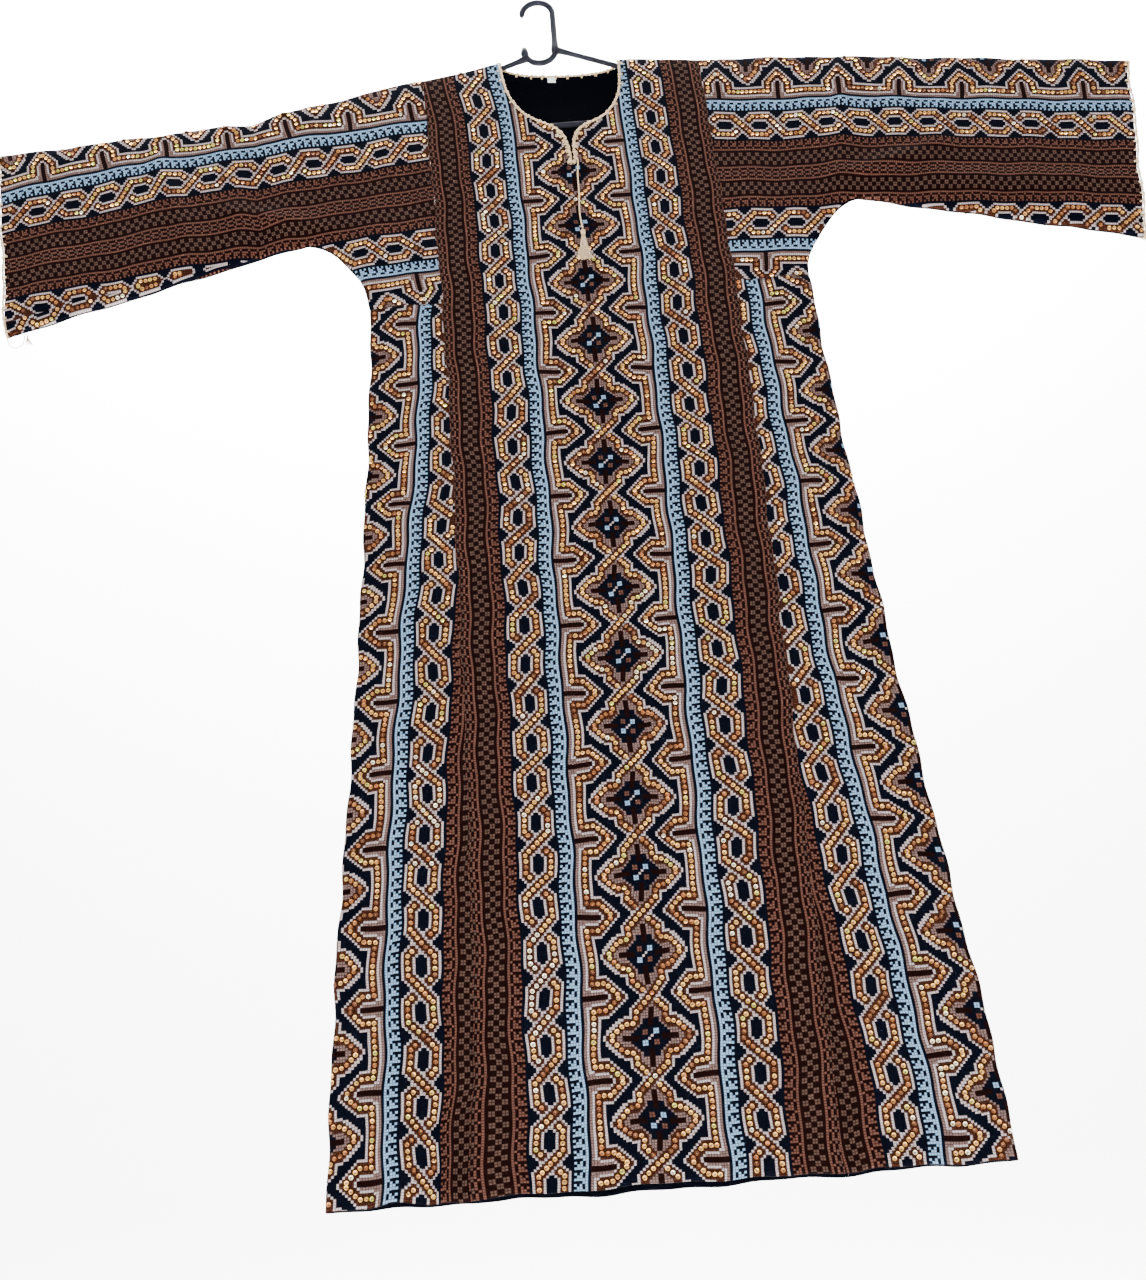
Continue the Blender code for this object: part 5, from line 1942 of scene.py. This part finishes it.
class DRESS_OT_stage(bpy.types.Operator):
    """Pale floor and backdrop, soft lights and the camera"""

    bl_idname = "dress.stage"
    bl_label = "Stage"

    def execute(self, context):
        paper = Finish("pale paper", roughness=0.9, Specular_IOR_Level=0.1)
        place = paper.place()
        tone = paper.noise(place, 1.5)
        white = (0.95, 0.95, 0.95, 1.0)
        paper.feed("Base Color", paper.blend(tone * 0.2, white, (0.92, 0.92, 0.92, 1.0)))
        behind = paper.add("NewGeometry", output="Backfacing")
        paper.feed("Alpha", 1 - behind)
        floor_height, wall_depth, bend, half = -1.95, 2.2, 0.8, 6.0
        line = [(-6.0, floor_height), (wall_depth - bend, floor_height)]
        for angle in range(10, 91, 10):
            turn = math.radians(angle)
            rise = bend * (1 - math.cos(turn))
            line.append((wall_depth - bend + bend * math.sin(turn), floor_height + rise))
        line.append((wall_depth, 7.0))
        places = [(x, y, z) for y, z in line for x in (-half, half)]
        faces = [(2 * i, 2 * i + 1, 2 * i + 3, 2 * i + 2) for i in range(len(line) - 1)]
        backdrop = add_mesh("backdrop", places, faces, [paper.material])
        smooth(backdrop, 60)
        for name, energy, size, where, aim in (
            ("large soft light", 72, 1.2, (-1.3, -3.0, 0.8), (0.0, 0.0, -0.7)),
            ("low soft light", 46, 1.0, (1.5, -2.8, -1.6), (0.0, 0.0, -0.8)),
            ("backdrop light", 3000, 3.0, (0.0, 0.9, 3.0), (0.0, 2.2, 0.6)),
        ):
            light = bpy.data.lights.new(name, "AREA")
            light.energy = energy
            light.size = size
            lamp = bpy.data.objects.new(name, light)
            lamp.location = where
            lamp.rotation_euler = (Vector(aim) - Vector(where)).to_track_quat("-Z", "Y").to_euler()
            context.collection.objects.link(lamp)
        world = bpy.data.worlds.new("soft room")
        world.use_nodes = True
        world.node_tree.nodes["Background"].inputs["Color"].default_value = (1.0, 1.0, 1.0, 1.0)
        world.node_tree.nodes["Background"].inputs["Strength"].default_value = 0.40
        context.scene.world = world
        camera = bpy.data.objects.new("camera", bpy.data.cameras.new("camera"))
        camera.location = (0.0035, -1.9214, -1.8360)
        camera.rotation_euler = [math.radians(angle) for angle in (115.377, 3.858, 2.349)]
        camera.data.sensor_fit = "HORIZONTAL"
        camera.data.sensor_width = 36.0
        camera.data.lens = 60.088
        camera.data.clip_end = 50.0
        context.collection.objects.link(camera)
        context.scene.camera = camera
        return {"FINISHED"}


def colour_choice(name, description, default):
    return bpy.props.FloatVectorProperty(
        name=name, description=description, subtype="COLOR", size=4, default=default
    )


def length_choice(name, description, default):
    return bpy.props.FloatProperty(name=name, description=description, unit="LENGTH", default=default)


class DressCloth(bpy.types.PropertyGroup):
    """Thread colours of the cloth, and the size of its sequins"""

    navy: colour_choice("Navy", "Ground cloth", (0.0007, 0.0011, 0.0032, 1.0))
    maroon: colour_choice("Maroon", "Ground of the brown bands", (0.0040, 0.0009, 0.0007, 1.0))
    brown: colour_choice("Brown", "Lines and arrows", (0.074, 0.031, 0.022, 1.0))
    pale: colour_choice("Pale", "Outlines of the strands", (0.36, 0.29, 0.29, 1.0))
    pinkish: colour_choice("Pinkish", "Second outlines", (0.120, 0.074, 0.066, 1.0))
    light_blue: colour_choice("Light blue", "Blue lines and arrows", (0.18, 0.29, 0.43, 1.0))
    # Dark rust stitches under the sequins, also the band past their edges that partly stands for their
    # painted shadow
    rust_and_sequin_shadow: colour_choice("Rust", "Stitches under the sequins", (0.032, 0.010, 0.005, 1.0))
    checker: colour_choice("Checker", "Squares of the brown bands", (0.052, 0.029, 0.022, 1.0))
    sequin_radius: length_choice("Sequin radius", "Half the width of a sequin", 0.0025)


class DressTrim(bpy.types.PropertyGroup):
    """Sizes and colours of trims, sequins, hanger and label"""

    edging_radius: length_choice("Edging radius", "Half the width of the neck's edging", EDGING_RADIUS)
    neck_stitch_spacing: length_choice("Neck stitches", "Distance between the neck's stitches", 0.0167)
    cuff_stitch_spacing: length_choice("Cuff stitches", "Distance between a cuff's stitches", 0.016)
    tassel_length: length_choice("Tassel length", "From the head's top to the longest thread's end", 0.046)
    hook_radius: length_choice("Hook radius", "Half the thickness of the hanger's hook and loop", 0.0040)
    bar_radius: length_choice("Bar radius", "Half the thickness of the hanger's arms", 0.0035)
    cream: colour_choice("Cream", "Edging and tie", (0.80, 0.55, 0.29, 1.0))
    gold: colour_choice("Gold", "Most sequins", (0.80, 0.42, 0.10, 1.0))
    copper: colour_choice("Copper", "Redder sequins", (0.42, 0.14, 0.035, 1.0))
    lime: colour_choice("Lime", "Greener sequins", (0.62, 0.57, 0.09, 1.0))
    # Pale tint that paints a highlight on some sequins
    painted_glint: colour_choice("Glint", "Sequins that catch the light", (1.0, 0.90, 0.66, 1.0))
    plastic: colour_choice("Plastic", "Hanger", (0.010, 0.010, 0.012, 1.0))
    tape: colour_choice("Tape", "Blank label", (0.82, 0.84, 0.86, 1.0))


OPERATORS = (
    DRESS_OT_centre_panel,
    DRESS_OT_sleeves,
    DRESS_OT_side_gores,
    DRESS_OT_sequins,
    DRESS_OT_neck_edging,
    DRESS_OT_cuff_edgings,
    DRESS_OT_label,
    DRESS_OT_tie,
    DRESS_OT_hanger,
    DRESS_OT_stage,
)


class DRESS_PT_panel(bpy.types.Panel):
    """Steps that build the dress"""

    bl_label = "Embroidered dress"
    bl_idname = "DRESS_PT_panel"
    bl_space_type = "VIEW_3D"
    bl_region_type = "UI"
    bl_category = "Dress"

    def draw(self, context):
        for step in OPERATORS:
            self.layout.operator(step.bl_idname)
        for group in (context.scene.dress_cloth, context.scene.dress_trim):
            for key in group.__annotations__:
                self.layout.prop(group, key)


CLASSES = (DressCloth, DressTrim, *OPERATORS, DRESS_PT_panel)


def register():
    for kind in CLASSES:
        bpy.utils.register_class(kind)
    bpy.types.Scene.dress_cloth = bpy.props.PointerProperty(type=DressCloth)
    bpy.types.Scene.dress_trim = bpy.props.PointerProperty(type=DressTrim)


def unregister():
    del bpy.types.Scene.dress_trim
    del bpy.types.Scene.dress_cloth
    for kind in reversed(CLASSES):
        bpy.utils.unregister_class(kind)


def main():
    register()
    for step in OPERATORS:
        getattr(bpy.ops.dress, step.bl_idname.split(".")[1])()
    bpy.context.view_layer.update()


if __name__ == "__main__":
    main()
